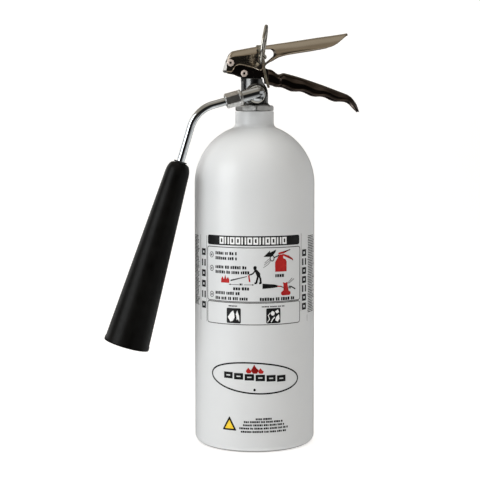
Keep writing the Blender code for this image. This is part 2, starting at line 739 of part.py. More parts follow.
def make_horn(pivot, plastic, rubber, brass):
    shoulder_radius, shoulder = HORN_SHOULDER
    across = shoulder_radius - HORN_TOP_RADIUS
    hole = 6 * MM
    profile = [(hole, 0), (HORN_TOP_RADIUS - MM, 0)]
    profile += [
        (HORN_TOP_RADIUS + across * math.sin(a), shoulder * (1 - math.cos(a)) + 0.6 * MM)
        for a in (math.radians(18 * i) for i in range(6))
    ]
    lip = 0.9 * MM
    profile += [
        (HORN_MOUTH_RADIUS - lip, HORN_LENGTH - 6 * MM),
        (HORN_MOUTH_RADIUS, HORN_LENGTH - 4.5 * MM),
        (HORN_MOUTH_RADIUS, HORN_LENGTH),
        (HORN_MOUTH_RADIUS - HORN_WALL - lip * 0.5, HORN_LENGTH),
        (shoulder_radius - HORN_WALL, shoulder + 4 * MM),
        (shoulder_radius - HORN_WALL - 2 * MM, shoulder + MM),
        (hole, shoulder + MM),
    ]
    bell = aimed(spun(profile, 32, closed=True), HORN_TOP, HORN_DIRECTION)
    add("discharge_horn", bell, plastic, pivot)

    grommet = in_metres([(4.6, -1.6), (7, -1.6), (7, -0.3), (5.7, -0.3), (5.7, 15), (4.6, 15)])
    add("horn_grommet", aimed(spun(grommet, 24, closed=True), HORN_TOP, HORN_DIRECTION), rubber, pivot)
    flats = (TUBE_RADIUS + GAP) / math.cos(math.pi / 6)
    lock_nut = [(flats, 15.4 * MM), (8 * MM, 15.4 * MM), (8 * MM, 19 * MM), (flats, 19 * MM)]
    add("horn_lock_nut", aimed(spun(lock_nut, 6, closed=True), HORN_TOP, HORN_DIRECTION), brass, pivot)
    cup = [(0, 32.5), (0, 30), (4, 29), (4, 22.5), (4.6, 22.5)]
    cup += [(4.6, 19.6), (6.6, 19.6), (6.6, 30), (5, 32.5), (0, 32.5)]
    cup = aimed(spun(in_metres(cup), 20), HORN_TOP, HORN_DIRECTION)
    nozzle_piece = add("horn_nozzle", cup, brass, pivot)
    turn = Matrix.Rotation(HORN_ANGLE, 3, "Y")
    middle = along_horn(26.5 * MM)
    jets = []
    for direction in (turn @ Vector((1, 0, 0)), Vector((0, 1, 0))):
        jets.append(rod(middle - direction * 9 * MM, middle + direction * 9 * MM, 1.2 * MM, 10))
    combine(nozzle_piece, "DIFFERENCE", jets)


# Labels


def make_label(name, angle, width, low, high, corner, material):
    """A thin label bent round the cylinder, with rounded corners."""
    near = CYLINDER_RADIUS + GAP
    columns = max(10, 2 * round(width / (16 * MM)))
    sections = []
    for i in range(columns + 1):
        across = -math.cos(math.pi * i / columns) if columns < 14 else 2 * i / columns - 1
        offset = across * width / 2
        beyond = max(abs(offset) - (width / 2 - corner), 0)
        trim = corner - math.sqrt(max(corner**2 - beyond**2, 0))
        a = angle + offset / near
        spot = Vector((math.cos(a), math.sin(a), 0))
        bottom, top = Vector((0, 0, low + trim)), Vector((0, 0, high - trim))
        far = near + LABEL_THICKNESS
        sections.append([spot * near + bottom, spot * far + bottom, spot * far + top, spot * near + top])
    add(name, lofted(sections), material)


def main():
    clear_scene()
    white_paint = finish("white_paint", (0.78, 0.79, 0.8), 0, 0.3)
    chrome = finish("chrome", (0.62, 0.6, 0.57), 1, 0.12)
    dark_chrome = finish("dark_chrome", (0.32, 0.28, 0.24), 1, 0.2)
    steel = finish("bright_steel", (0.66, 0.63, 0.58), 1, 0.25)
    brass = finish("brass", (0.66, 0.5, 0.25), 1, 0.3)
    aluminium = finish("aluminium", (0.7, 0.7, 0.7), 1, 0.35)
    horn_plastic = finish("horn_plastic", (0.015, 0.014, 0.013), 0, 0.5)
    pale_plastic = finish("pale_plastic", (0.72, 0.7, 0.62), 0, 0.4)
    rubber = finish("rubber", (0.02, 0.02, 0.02), 0, 0.7)
    label = finish("label", (0.8, 0.8, 0.8), 0, 0.45)
    sticker = finish("sticker", (0.75, 0.1, 0.06), 0, 0.45)

    lever_pivot = joint_empty("lever_pivot", LEVER_PIVOT)
    stem_axis = joint_empty("stem_axis", Vector((0, 0, SEAT_Z)))
    pin_axis = joint_empty("pin_axis", PIN_CENTRE)
    ring_eye = joint_empty("ring_eye", PIN_EYE)
    horn_pivot = joint_empty("horn_pivot", SWIVEL)

    make_cylinder(white_paint, rubber)
    make_valve_body(chrome)
    make_siphon(aluminium, pale_plastic)
    make_stem(stem_axis, brass, rubber, steel)
    make_burst_disc(brass, steel)
    make_handle(dark_chrome)
    make_lever(lever_pivot, dark_chrome)
    make_rivet("lever_rivet", LEVER_PIVOT, LEVER_HALF_WIDTH + GAP, steel)
    make_rivet("handle_rivet", HANDLE_RIVET, BRACKET_HALF_WIDTH + GAP, steel)
    make_pin(pin_axis, steel)
    make_ring(ring_eye, steel)
    make_tamper_seal(pale_plastic)
    make_outlet(brass, rubber, pale_plastic)
    make_elbow(horn_pivot, chrome, brass)
    make_horn_tube(horn_pivot, chrome)
    make_horn(horn_pivot, horn_plastic, rubber, brass)
    make_label("instruction_label", LABEL_ANGLE, 190 * MM, 137 * MM, 236.5 * MM, 3 * MM, label)
    make_label("emblem_label", LABEL_ANGLE, 88 * MM, 64 * MM, 98.5 * MM, 8 * MM, sticker)
    make_label("caution_label", LABEL_ANGLE, 76 * MM, 21.5 * MM, 40 * MM, 3 * MM, label)


main()
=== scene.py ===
"""Looks of the carbon-dioxide fire extinguisher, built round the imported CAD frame.

Lengths are written in millimetres and turned into metres when a piece is made. The grip points
along +X, the outlet faces -Y and +Z is up, as in the CAD.
"""

import math
import random

import bmesh
import bpy
from mathutils import Matrix, Vector


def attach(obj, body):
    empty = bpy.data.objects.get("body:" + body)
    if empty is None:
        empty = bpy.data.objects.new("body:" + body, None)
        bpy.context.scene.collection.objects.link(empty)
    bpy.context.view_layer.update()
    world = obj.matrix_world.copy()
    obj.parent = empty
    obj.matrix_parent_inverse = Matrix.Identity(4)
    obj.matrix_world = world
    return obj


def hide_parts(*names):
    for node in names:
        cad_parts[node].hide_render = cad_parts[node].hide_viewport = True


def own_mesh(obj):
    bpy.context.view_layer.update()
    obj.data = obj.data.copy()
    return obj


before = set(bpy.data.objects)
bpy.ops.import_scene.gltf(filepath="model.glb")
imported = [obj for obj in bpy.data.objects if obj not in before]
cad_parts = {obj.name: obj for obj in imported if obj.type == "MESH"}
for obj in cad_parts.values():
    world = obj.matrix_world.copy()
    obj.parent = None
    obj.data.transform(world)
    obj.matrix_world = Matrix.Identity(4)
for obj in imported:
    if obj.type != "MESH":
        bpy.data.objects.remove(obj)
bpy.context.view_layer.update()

MM = 0.001

# Measures shared with the CAD, in millimetres
CYLINDER_RADIUS = 66
FOOT_ROUND = 7.5
DOME_CENTRE_Z = 285.5
NECK_RADIUS = 21.1
NECK_FILLET = 6
NECK_TOP_Z = 364.8
FLANGE_RADIUS = 21.1
FLANGE_Z = (365.1, 371.3)
COLUMN_RADIUS = 14.8
COLUMN_TOP_Z = 400.4
HEAD_HALF_WIDTH = 7.3
OUTLET_Z = 383
BURST_Z = 384
SPRING_FOOT_Z = 349.3
SPRING_HEIGHT = 16.9
SPRING_RADIUS = 5.2
SPRING_WIRE = 0.7
SPRING_TURNS = 6
STEM_TRAVEL = 4.2
SHEET = 1.6
LEVER_PIVOT = Vector((-27.5, 0, 417.1))
HANDLE_RIVET = Vector((-12.4, 0, 405.8))
LEVER_HALF_WIDTH = 11.1
BRACKET_HALF_WIDTH = 9.2
PIN_CENTRE = Vector((6.6, 0, 423.5))
PIN_RADIUS = 2
PIN_EYE = Vector((6.6, -18.5, 423.5))
EYE_RADIUS = 3.2
RING_RADIUS = 20
RING_REACH = 16.1
RING_LEAN = math.radians(8.5)
RING_TURN = math.radians(10)
SWIVEL = Vector((0, -28, 383))
ARM_START = SWIVEL + Vector((0, 0, 1.8))
ARM_ANGLE = math.radians(195.5)
ARM_DIRECTION = Vector((math.cos(ARM_ANGLE), 0, math.sin(ARM_ANGLE)))
ARM_RADIUS = 6.4
NUT_BORE = 4.6
TUBE_RADIUS = 4.3
TUBE_BEND = 35
HORN_TOP = Vector((-83.8, -28, 309.5))
HORN_ANGLE = math.radians(16.7)
HORN_DIRECTION = Vector((-math.sin(HORN_ANGLE), 0, -math.cos(HORN_ANGLE)))
HORN_LENGTH = 204.4
HORN_TOP_RADIUS = 7.75
HORN_SHOULDER_RADIUS = 13.2
HORN_MOUTH_RADIUS = 24.75

ALONG_Y = Vector((0, 1, 0))


# Materials


CLOUD_RANGE = (0.32, 0.68)
GLOSS_RANGE = (0.3, 0.7)
GLOSS_FINENESS = 2.7
EVEN = (1, 1, 1)
LENGTHWISE = (0.08, 1, 1)


def map_range(nodes, low, high, first, last):
    """A node that turns low to high into first to last."""
    made = nodes.new("ShaderNodeMapRange")
    for socket, value in zip(("From Min", "From Max", "To Min", "To Max"), (low, high, first, last)):
        made.inputs[socket].default_value = value
    return made


def material(name, dark, light, metallic, rough, grain, bumps=(), sockets=None, stretch=EVEN):
    """A Principled material with cloudy colour, uneven gloss and a stack of bumps.

    Each bump is (noise scale per metre, strength, height in mm), and a stretch if it isn't even.
    """
    made = bpy.data.materials.new(name)
    made.use_nodes = True
    nodes, links = made.node_tree.nodes, made.node_tree.links
    shader = nodes["Principled BSDF"]
    shader.inputs["Metallic"].default_value = metallic
    for socket, value in (sockets or {}).items():
        shader.inputs[socket].default_value = value
    place = nodes.new("ShaderNodeTexCoord")

    def noise(scale, detail, stretched=EVEN):
        spread = nodes.new("ShaderNodeMapping")
        spread.inputs["Scale"].default_value = stretched
        links.new(place.outputs["Object"], spread.inputs["Vector"])
        texture = nodes.new("ShaderNodeTexNoise")
        texture.inputs["Scale"].default_value = scale
        texture.inputs["Detail"].default_value = detail
        links.new(spread.outputs["Vector"], texture.inputs["Vector"])
        return texture.outputs["Fac"]

    ramp = nodes.new("ShaderNodeValToRGB")
    for stop, position, colour in zip(ramp.color_ramp.elements, CLOUD_RANGE, (dark, light)):
        stop.position = position
        stop.color = (*colour, 1)
    links.new(noise(grain, 5, stretch), ramp.inputs["Fac"])
    links.new(ramp.outputs["Color"], shader.inputs["Base Color"])

    gloss = map_range(nodes, *GLOSS_RANGE, *rough)
    links.new(noise(grain * GLOSS_FINENESS, 6, stretch), gloss.inputs["Value"])
    links.new(gloss.outputs["Result"], shader.inputs["Roughness"])

    normal = None
    for scale, strength, height, *stretched in bumps:
        bump = nodes.new("ShaderNodeBump")
        bump.inputs["Strength"].default_value = strength
        bump.inputs["Distance"].default_value = height * MM
        links.new(noise(scale, 3, *stretched), bump.inputs["Height"])
        if normal:
            links.new(normal, bump.inputs["Normal"])
        normal = bump.outputs["Normal"]
    if normal:
        links.new(normal, shader.inputs["Normal"])
    return made


def painted_foot_shade(made, colour, low, high):
    """Darkens a material up to a height: painted contact shade where the foot meets the floor."""
    nodes, links = made.node_tree.nodes, made.node_tree.links
    base = nodes["Principled BSDF"].inputs["Base Color"]
    clean = base.links[0].from_socket
    place = nodes.new("ShaderNodeTexCoord")
    axes = nodes.new("ShaderNodeSeparateXYZ")
    links.new(place.outputs["Object"], axes.inputs["Vector"])
    height = map_range(nodes, low * MM, high * MM, 0, 1)
    links.new(axes.outputs["Z"], height.inputs["Value"])
    mix = nodes.new("ShaderNodeMix")
    mix.data_type = "RGBA"
    mix.inputs["A"].default_value = (*colour, 1)
    links.new(height.outputs["Result"], mix.inputs["Factor"])
    links.new(clean, mix.inputs["B"])
    links.new(mix.outputs["Result"], base)


paint = material(
    "white_powder_paint", (0.675, 0.69, 0.7), (0.69, 0.703, 0.71), 0, (0.34, 0.4), 25,
    [(900, 0.05, 0.03)], {"Coat Weight": 0.4, "Coat Roughness": 0.3},
)
# Painted contact shade: the paint darkens over the lowest few millimetres of the foot.
painted_foot_shade(paint, (0.06, 0.058, 0.055), 1.3, 2.9)
chrome = material(
    "bright_chrome", (0.7, 0.725, 0.74), (0.83, 0.855, 0.87), 1, (0.05, 0.12), 70,
    [(420, 0.12, 0.05), (90, 0.1, 0.12)],
)
# Chrome for the valve forging. Its base colour is darkened far below the other chrome as painted shade.
chrome_painted_shade = material(
    "chrome_painted_shade", (0.11, 0.112, 0.113), (0.23, 0.228, 0.22), 1, (0.16, 0.28), 110,
    [(900, 0.25, 0.06), (190, 0.3, 0.25)],
)
machined_chrome = material(
    "machined_chrome", (0.5, 0.5, 0.485), (0.7, 0.69, 0.66), 1, (0.3, 0.4), 90,
    [(900, 0.2, 0.05), (300, 0.4, 0.25)],
)
plating = material(
    "pressed_nickel_plating", (0.5, 0.425, 0.335), (0.65, 0.565, 0.455), 1, (0.12, 0.2), 45,
    [(1400, 0.1, 0.03, LENGTHWISE), (120, 0.1, 0.12)], stretch=(0.35, 1, 1),
)
# The lever's plating darkened for the handle as painted shade.
plating_painted_shade = material(
    "pressed_plating_painted_shade", (0.1, 0.078, 0.068), (0.24, 0.19, 0.165), 1, (0.1, 0.2), 60,
    [(1400, 0.1, 0.03, LENGTHWISE), (130, 0.16, 0.2)], stretch=(0.35, 1, 1),
)
# A paler copy of the plating for the lever's nose: a painted highlight.
plating_painted_highlight = material(
    "nickel_nose_painted_highlight", (0.64, 0.625, 0.6), (0.74, 0.725, 0.7), 1, (0.34, 0.42), 60,
    [(1400, 0.1, 0.03)],
)
satin_chrome = material(
    "satin_chrome", (0.74, 0.735, 0.715), (0.9, 0.89, 0.865), 1, (0.3, 0.4), 80,
    [(900, 0.15, 0.05), (300, 0.3, 0.2)],
)
rivet_steel = material(
    "rolled_rivet_steel", (0.66, 0.55, 0.49), (0.84, 0.74, 0.68), 0.45, (0.3, 0.42), 300,
    [(1500, 0.2, 0.03)],
)
wire_steel = material(
    "drawn_wire_steel", (0.46, 0.44, 0.39), (0.74, 0.71, 0.64), 1, (0.12, 0.2), 200,
    [(1600, 0.15, 0.03)],
)
brass = material(
    "turned_brass", (0.52, 0.36, 0.14), (0.72, 0.54, 0.26), 1, (0.2, 0.36), 150, [(1500, 0.15, 0.03)],
)
aluminium = material(
    "turned_aluminium", (0.58, 0.58, 0.58), (0.74, 0.74, 0.73), 1, (0.28, 0.4), 120,
    [(1200, 0.15, 0.03)],
)
horn_black = material(
    "moulded_black_plastic", (0.0025, 0.0023, 0.002), (0.005, 0.0048, 0.0043), 0, (0.3, 0.42), 90,
    [(2300, 0.2, 0.04), (60, 0.05, 0.3)], {"Specular IOR Level": 0.11},
)
seal_plastic = material(
    "tan_seal_plastic", (0.075, 0.064, 0.046), (0.16, 0.138, 0.1), 0, (0.22, 0.36), 180,
    [(900, 0.2, 0.05)], {"Subsurface Weight": 0.1, "Subsurface Scale": 0.001},
)
siphon_plastic = material(
    "natural_siphon_plastic", (0.56, 0.55, 0.5), (0.7, 0.68, 0.62), 0, (0.4, 0.52), 80,
    [(700, 0.2, 0.05)],
)
rubber = material(
    "black_rubber", (0.012, 0.012, 0.012), (0.028, 0.027, 0.026), 0, (0.6, 0.78), 200,
    [(1500, 0.3, 0.05)],
)


def ink(name, dark, light):
    return material(
        name, dark, light, 0, (0.34, 0.46), 220, [(1800, 0.1, 0.02)], {"Specular IOR Level": 0.2},
    )


black_ink = ink("black_print", (0.004, 0.004, 0.0045), (0.012, 0.012, 0.0125))
red_ink = ink("red_print", (0.36, 0.008, 0.008), (0.48, 0.016, 0.013))
white_ink = ink("white_print", (0.8, 0.81, 0.81), (0.86, 0.86, 0.86))
grey_ink = ink("grey_print", (0.045, 0.045, 0.045), (0.09, 0.09, 0.088))
yellow_ink = ink("yellow_print", (0.8, 0.52, 0.02), (0.9, 0.63, 0.05))


# Geometry helpers, all in millimetres


def arc(centre, radius, start, end, steps):
    """Points on a circle from one angle to another, in degrees, both ends included."""
    angles = [math.radians(start + (end - start) * i / steps) for i in range(steps + 1)]
    return [(centre[0] + radius * math.cos(a), centre[1] + radius * math.sin(a)) for a in angles]


def turn_angles(steps):
    return [math.pi * i / steps for i in range(steps + 1)]


def spun(profile, steps, closed=False):
    """A (radius, height) profile turned about Z. An open profile starts and ends on the axis."""
    bm = bmesh.new()
    points = [bm.verts.new((radius, 0, height)) for radius, height in profile]
    pairs = list(zip(points, points[1:]))
    if closed:
        pairs.append((points[-1], points[0]))
    for pair in pairs:
        bm.edges.new(pair)
    geometry = bm.verts[:] + bm.edges[:]
    bmesh.ops.spin(bm, geom=geometry, axis=(0, 0, 1), angle=math.tau, steps=steps, use_merge=True)
    bmesh.ops.remove_doubles(bm, verts=bm.verts, dist=1e-4)
    return bm


def aimed(bm, start, direction):
    """Moves geometry made on +Z to a start point, along a direction."""
    turn = Vector((0, 0, 1)).rotation_difference(Vector(direction)).to_matrix().to_4x4()
    bmesh.ops.transform(bm, matrix=Matrix.Translation(start) @ turn, verts=bm.verts)
    return bm


def turned(profile, start, direction, steps, closed=False):
    return aimed(spun(profile, steps, closed), start, direction)


def torus(centre, direction, radius, wire, steps, sides):
    profile = arc((radius, 0), wire, 0, 360 - 360 / sides, sides - 1)
    return turned(profile, centre, direction, steps, closed=True)


def lofted(sections, capped=True):
    """A skin through closed sections that all have the same number of points."""
    bm = bmesh.new()
    loops = [[bm.verts.new(point) for point in section] for section in sections]
    count = len(loops[0])
    pairs = list(zip(loops, loops[1:]))
    if not capped:
        pairs.append((loops[-1], loops[0]))
    for low, high in pairs:
        for i in range(count):
            j = (i + 1) % count
            bm.faces.new((low[i], low[j], high[j], high[i]))
    if capped:
        bm.faces.new(loops[0])
        bm.faces.new(loops[-1])
    return bm


def inset(outline, distance):
    """The outline moved inwards. It goes round in either direction."""
    area = sum(a[0] * b[1] - b[0] * a[1] for a, b in zip(outline, outline[1:] + outline[:1]))
    side = 1 if area > 0 else -1
    moved = []
    for i, point in enumerate(outline):
        here = Vector(point)
        before = (here - Vector(outline[i - 1])).normalized()
        after = (Vector(outline[(i + 1) % len(outline)]) - here).normalized()
        inward = Vector((-before.y - after.y, before.x + after.x))
        lean = max(inward.length / 2, 0.35)
        moved.append(tuple(here + inward.normalized() * side * distance / lean))
    return moved


def rounded(outline, radius, steps=3):
    """The outline with its corners rounded."""
    points = []
    for i, point in enumerate(outline):
        here = Vector(point)
        before = Vector(outline[i - 1]) - here
        after = Vector(outline[(i + 1) % len(outline)]) - here
        reach = min(radius, before.length * 0.45, after.length * 0.45)
        first, last = here + before.normalized() * reach, here + after.normalized() * reach
        for k in range(steps + 1):
            t = k / steps
            points.append(tuple(first * (1 - t) ** 2 + here * 2 * t * (1 - t) + last * t ** 2))
    return points


def slab(outline, low, high, edge):
    """An outline given a thickness along Y, with its edges rounded over."""
    layers = [(low, edge), (low + edge * 0.3, edge * 0.3), (low + edge, 0)]
    layers += [(high - edge, 0), (high - edge * 0.3, edge * 0.3), (high, edge)]
    sections = []
    for depth, reach in layers:
        ring = inset(outline, reach) if reach else outline
        sections.append([(x, depth, z) for x, z in ring])
    return lofted(sections)


def swept(path, section, across=ALONG_Y):
    """A closed (side, height) section swept along a path that lies in one plane."""
    loops = []
    for i, point in enumerate(path):
        ahead = path[min(i + 1, len(path) - 1)] - path[max(i - 1, 0)]
        up = across.cross(ahead).normalized()
        loops.append([point + across * side + up * height for side, height in section])
    return lofted(loops)


def smooth_rows(rows, step):
    """Rows of numbers, the first of them X, filled in along a smooth curve."""
    filled = []
    for i in range(len(rows) - 1):
        before, low = rows[max(i - 1, 0)], rows[i]
        high, after = rows[i + 1], rows[min(i + 2, len(rows) - 1)]
        count = max(1, round((high[0] - low[0]) / step))
        for k in range(count):
            t = k / count
            row = []
            for a, b, c, d in zip(before, low, high, after):
                bend = 2 * a - 5 * b + 4 * c - d + t * (3 * (b - c) + d - a)
                row.append(b + 0.5 * t * (c - a + t * bend))
            row[0] = low[0] + (high[0] - low[0]) * t
            filled.append(row)
    filled.append(list(rows[-1]))
    return filled


def mesh_from(bm, name):
    mesh = bpy.data.meshes.new(name)
    bm.to_mesh(mesh)
    bm.free()
    return mesh


def added(name, data):
    """A new object in the scene."""
    obj = bpy.data.objects.new(name, data)
    bpy.context.scene.collection.objects.link(obj)
    return obj


def baked(bm):
    """A mesh from closed geometry, with its faces turned outwards."""
    bmesh.ops.recalc_face_normals(bm, faces=bm.faces)
    return mesh_from(bm, "part")


def gathered(shapes):
    """One body of geometry from several closed shapes."""
    whole = bmesh.new()
    for bm in shapes:
        part = baked(bm)
        whole.from_mesh(part)
        bpy.data.meshes.remove(part)
    return whole


def cut(base, cutters):
    """The base with other shapes cut from it."""
    tools = [added("tool", baked(bm)) for bm in [base, *cutters]]
    for tool in tools[1:]:
        modifier = tools[0].modifiers.new("cut", "BOOLEAN")
        modifier.operation = "DIFFERENCE"
        modifier.object = tool
    graph = bpy.context.evaluated_depsgraph_get()
    mesh = bpy.data.meshes.new_from_object(tools[0].evaluated_get(graph))
    made = bmesh.new()
    made.from_mesh(mesh)
    bpy.data.meshes.remove(mesh)
    for tool in tools:
        bpy.data.meshes.remove(tool.data)
    return made


def piece(name, shapes, finish, body, nodes, slot, sharp=38, weighted=False):
    """One visible piece of the object from closed shapes in millimetres."""
    whole = gathered(shapes if isinstance(shapes, list) else [shapes])
    bmesh.ops.scale(whole, vec=(MM, MM, MM), verts=whole.verts)
    mesh = mesh_from(whole, name)
    mesh.shade_smooth()
    mesh.set_sharp_from_angle(angle=math.radians(sharp))
    for one in finish if isinstance(finish, list) else [finish]:
        mesh.materials.append(one)
    obj = added(name, mesh)
    if weighted:
        obj.modifiers.new("weighted_normals", "WEIGHTED_NORMAL").keep_sharp = True
    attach(obj, body)
    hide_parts(*nodes)
    return obj


# Cylinder


def cylinder_profile():
    reach = math.degrees(math.acos((NECK_RADIUS + NECK_FILLET) / (CYLINDER_RADIUS + NECK_FILLET)))
    fillet_z = DOME_CENTRE_Z + (CYLINDER_RADIUS + NECK_FILLET) * math.sin(math.radians(reach))
    fillet = (NECK_RADIUS + NECK_FILLET, fillet_z)
    outside = [(0, 3.4), (38, 3.2), (46, 1.2), (50, 0.3), (CYLINDER_RADIUS - FOOT_ROUND, 0)]
    outside += arc((CYLINDER_RADIUS - FOOT_ROUND, FOOT_ROUND), FOOT_ROUND, -80, 0, 12)
    outside += arc((0, DOME_CENTRE_Z), CYLINDER_RADIUS, 0, reach, 36)
    outside += arc(fillet, NECK_FILLET, 180 + reach, 180, 10)[1:]
    outside += arc((NECK_RADIUS - 0.8, NECK_TOP_Z - 0.8), 0.8, 0, 90, 4)
    inside = [(16, NECK_TOP_Z), (16, 362.2), (13, 362.2)]
    inside += arc((0, DOME_CENTRE_Z), 61, 77, 0, 16)
    inside += [(61, 15.5), (59, 10.5), (53.5, 8.4), (0, 8)]
    return outside + inside


shell = spun(cylinder_profile(), 160)
piece("cylinder_shell", shell, paint, "extinguisher", ["cylinder"], "cylinder_paint")


# Valve


def polygon_radius(angle, sides, corner):
    """The distance to a regular polygon's edge. The corner is the distance to a corner."""
    share = math.tau / sides
    return corner * math.cos(share / 2) / math.cos(angle % share - share / 2)


def chamfered_prism(sides, corner, levels):
    """Loops of a prism with turned chamfers. Each level is (height, limit of the radius)."""
    steps = 96
    loops = []
    for height, limit in levels:
        loop = []
        for k in range(steps):
            a = math.tau * k / steps
            radius = min(polygon_radius(a, sides, corner), limit)
            loop.append((radius * math.cos(a), radius * math.sin(a), height))
        loops.append(loop)
    return loops


def make_flange():
    """The wrench flats, with the turned chamfers of a nut above and below."""
    low, high = FLANGE_Z
    levels = ((0, 19.4), (0.3, 20.1), (0.8, 22), (4.6, 22), (5.1, 20.9), (5.7, 20.2), (6.2, 19.3))
    loops = chamfered_prism(8, FLANGE_RADIUS, [(low + rise, limit) for rise, limit in levels])
    bore = spun([(0, low - 1), (12, low - 1), (12, high + 1), (0, high + 1)], 40)
    return cut(lofted(loops), [bore])


def make_valve():
    column = [
        (0, 342), (12.5, 342), (12.5, 366), (16.6, 366), (16.6, 372), (15.4, 373), (COLUMN_RADIUS, 374.2),
        (COLUMN_RADIUS, 399.6), (14.5, 400.2), (14, COLUMN_TOP_Z), (0, COLUMN_TOP_Z),
    ]
    shoulder = [
        (7, 401.8), (7.3, 397.5), (8.2, 395.6), (10, 393.6), (12.2, 390.8), (13.6, 388), (14.3, 384.5),
        (14.5, 383), (18, 383), (18, 401.8),
    ]
    column = cut(spun(column, 96), [lofted([[(x, y, z) for x, z in shoulder] for y in (-17, 17)])])
    head = [(-18.5, 405.5), (-14.4, 403), (-14.4, 397), (6.6, 397), (6.8, 403), (9.6, 403.6)]
    head = rounded(head + [(9.6, 412.5), (-18.5, 412.5)], 1.4)
    post = rounded([(3.2, 409), (9.5, 409), (9.5, 427.4), (3.2, 427.4)], 1.2)
    bore = [
        (0, 341), (8.5, 341), (8.5, 371.7), (3.6, 371.7), (3.6, 374), (5, 374), (5, 387), (3.9, 387),
        (3.9, 410), (2.8, 410), (2.8, 414), (0, 414),
    ]
    solid = [column, slab(head, -HEAD_HALF_WIDTH, HEAD_HALF_WIDTH, 0.7), slab(post, -4.5, 4.5, 0.6)]
    shapes = [cut(shape, [spun(bore, 40)]) for shape in solid]
    outlet = [
        (0, 6), (12.2, 6), (12.2, 14.4), (11.6, 15.2), (11, 15.8), (11, 18.4), (10.5, 19), (6.4, 19),
        (6, 18.5), (6, 12.4), (0, 12.4),
    ]
    burst = [(0, 6), (8, 6), (8, 17.8), (7.4, 18.5), (5, 18.5), (4.6, 18), (4.6, 12), (0, 12)]
    shapes.append(turned(outlet, Vector((0, 0, OUTLET_Z)), -ALONG_Y, 72))
    shapes.append(turned(burst, Vector((0, 0, BURST_Z)), ALONG_Y, 48))
    rest = ("extinguisher", ["valve_body"], "valve_chrome")
    # The forging takes the chrome darkened as painted shade.
    piece("valve_forging", shapes, chrome_painted_shade, *rest, weighted=True)
    piece("valve_flange", make_flange(), machined_chrome, *rest, weighted=True)


def make_spring():
    """The valve spring coil at its full height; the real one shortens as the stem goes down."""
    foot, height, travel = SPRING_FOOT_Z, SPRING_HEIGHT, STEM_TRAVEL
    loops = []
    steps = SPRING_TURNS * 28
    for i in range(steps + 1):
        a = math.tau * SPRING_TURNS * i / steps
        middle = foot + SPRING_WIRE + (height - 2 * SPRING_WIRE) * i / steps
        loop = []
        for side, rise in arc((0, 0), SPRING_WIRE, 0, 324, 9):
            radius = SPRING_RADIUS + side
            loop.append((radius * math.cos(a), radius * math.sin(a), middle + rise))
        loops.append(loop)
    rest = ("extinguisher", ["valve_spring"], "bright_steel")
    coil = piece("valve_spring_coil", lofted(loops), wire_steel, *rest)
    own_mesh(coil)


make_valve()
make_spring()


# Lever and handle


def channel(stations, roll, crease):
    """A pressed channel, open below, with lips rolled outwards.

    A station is (x, crest, height where the arch meets the sides, height of the lips, half width).
    The roll gives the lips' width at each x. The crease is the angle in degrees at which the arch
    stops short of the upright sides.
    """
    sections = []
    arch = 20
    first = math.radians(crease)
    turn = [first + (math.pi - 2 * first) * i / arch for i in range(arch + 1)]
    low = math.sin(first)
    bow = [(math.cos(a) / math.cos(first), (math.sin(a) - low) / (1 - low)) for a in turn]
    for x, crest, spring, edge, half in stations:
        rise = crest - spring
        outer = [(half * side, spring + rise * up) for side, up in bow]
        within = half - SHEET
        inner = [(within * side, spring + (rise - SHEET) * up) for side, up in reversed(bow)]
        spread = min(roll(x), (spring - edge) * 0.45)
        lip = [(half, edge + spread * 1.6 + 0.4), (half + spread * 0.45, edge + spread * 0.9 + 0.3)]
        lip += [(half + spread, edge + spread * 0.45 + 0.2), (half + spread - 0.3, edge - 0.1)]
        lip += [(half + spread - 0.9, edge - 0.25), (within + spread * 0.4, edge + spread * 0.3)]
        lip += [(within, edge + spread * 1.2 + 0.5)]
        right = [(-y, z) for y, z in lip]
        section = lip[:4][::-1] + outer + right + inner + lip[:3:-1]
        sections.append([(x, y, z) for y, z in section])
    return lofted(sections)


# Rows of x, crest, arch foot, lips and half width
LEVER_STATIONS = [
    (-31.6, 419.6, 416.6, 407.2, 11.1), (-29.1, 425.6, 420.6, 407.2, 11.1),
    (-25.8, 429.4, 423.2, 407.6, 11.1), (-22.5, 430.6, 423.8, 413, 11.1),
    (-18.1, 431.6, 424.2, 415, 11.1), (-11.4, 432.9, 424.9, 414, 11.1),
    (-1.5, 434.7, 426.2, 411.5, 11.1), (6.3, 435.9, 427.3, 409.3, 11.1),
    (11.7, 436.7, 426, 415.7, 11.1), (15.1, 437.2, 425.4, 418, 11.1), (25.8, 438.8, 427.6, 423.6, 11.3),
    (36.4, 440.4, 429.9, 426.8, 12), (50, 442.5, 432, 429.2, 12.5), (64, 444.7, 433.4, 431.4, 12.5),
    (76, 446.5, 434.9, 433.6, 12.5), (83, 447.5, 436.7, 435.3, 12.4), (90, 448.6, 440.2, 438.9, 11.6),
    (96, 449.5, 444.6, 443.6, 9.6), (100, 450.2, 447.6, 446.8, 7), (102.6, 450.7, 448.7, 448, 4.2),
]
NOSE_HALF_WIDTH = 10.8
NOSE_BULGE = 2.6
GRIP_LIP = 1.1


def lever_lip(x):
    """A narrow lip that widens under the window."""
    near_window = max(0, 1 - abs(x - 18) / 12)
    return 0.5 + 0.9 * min(1, near_window * 2)


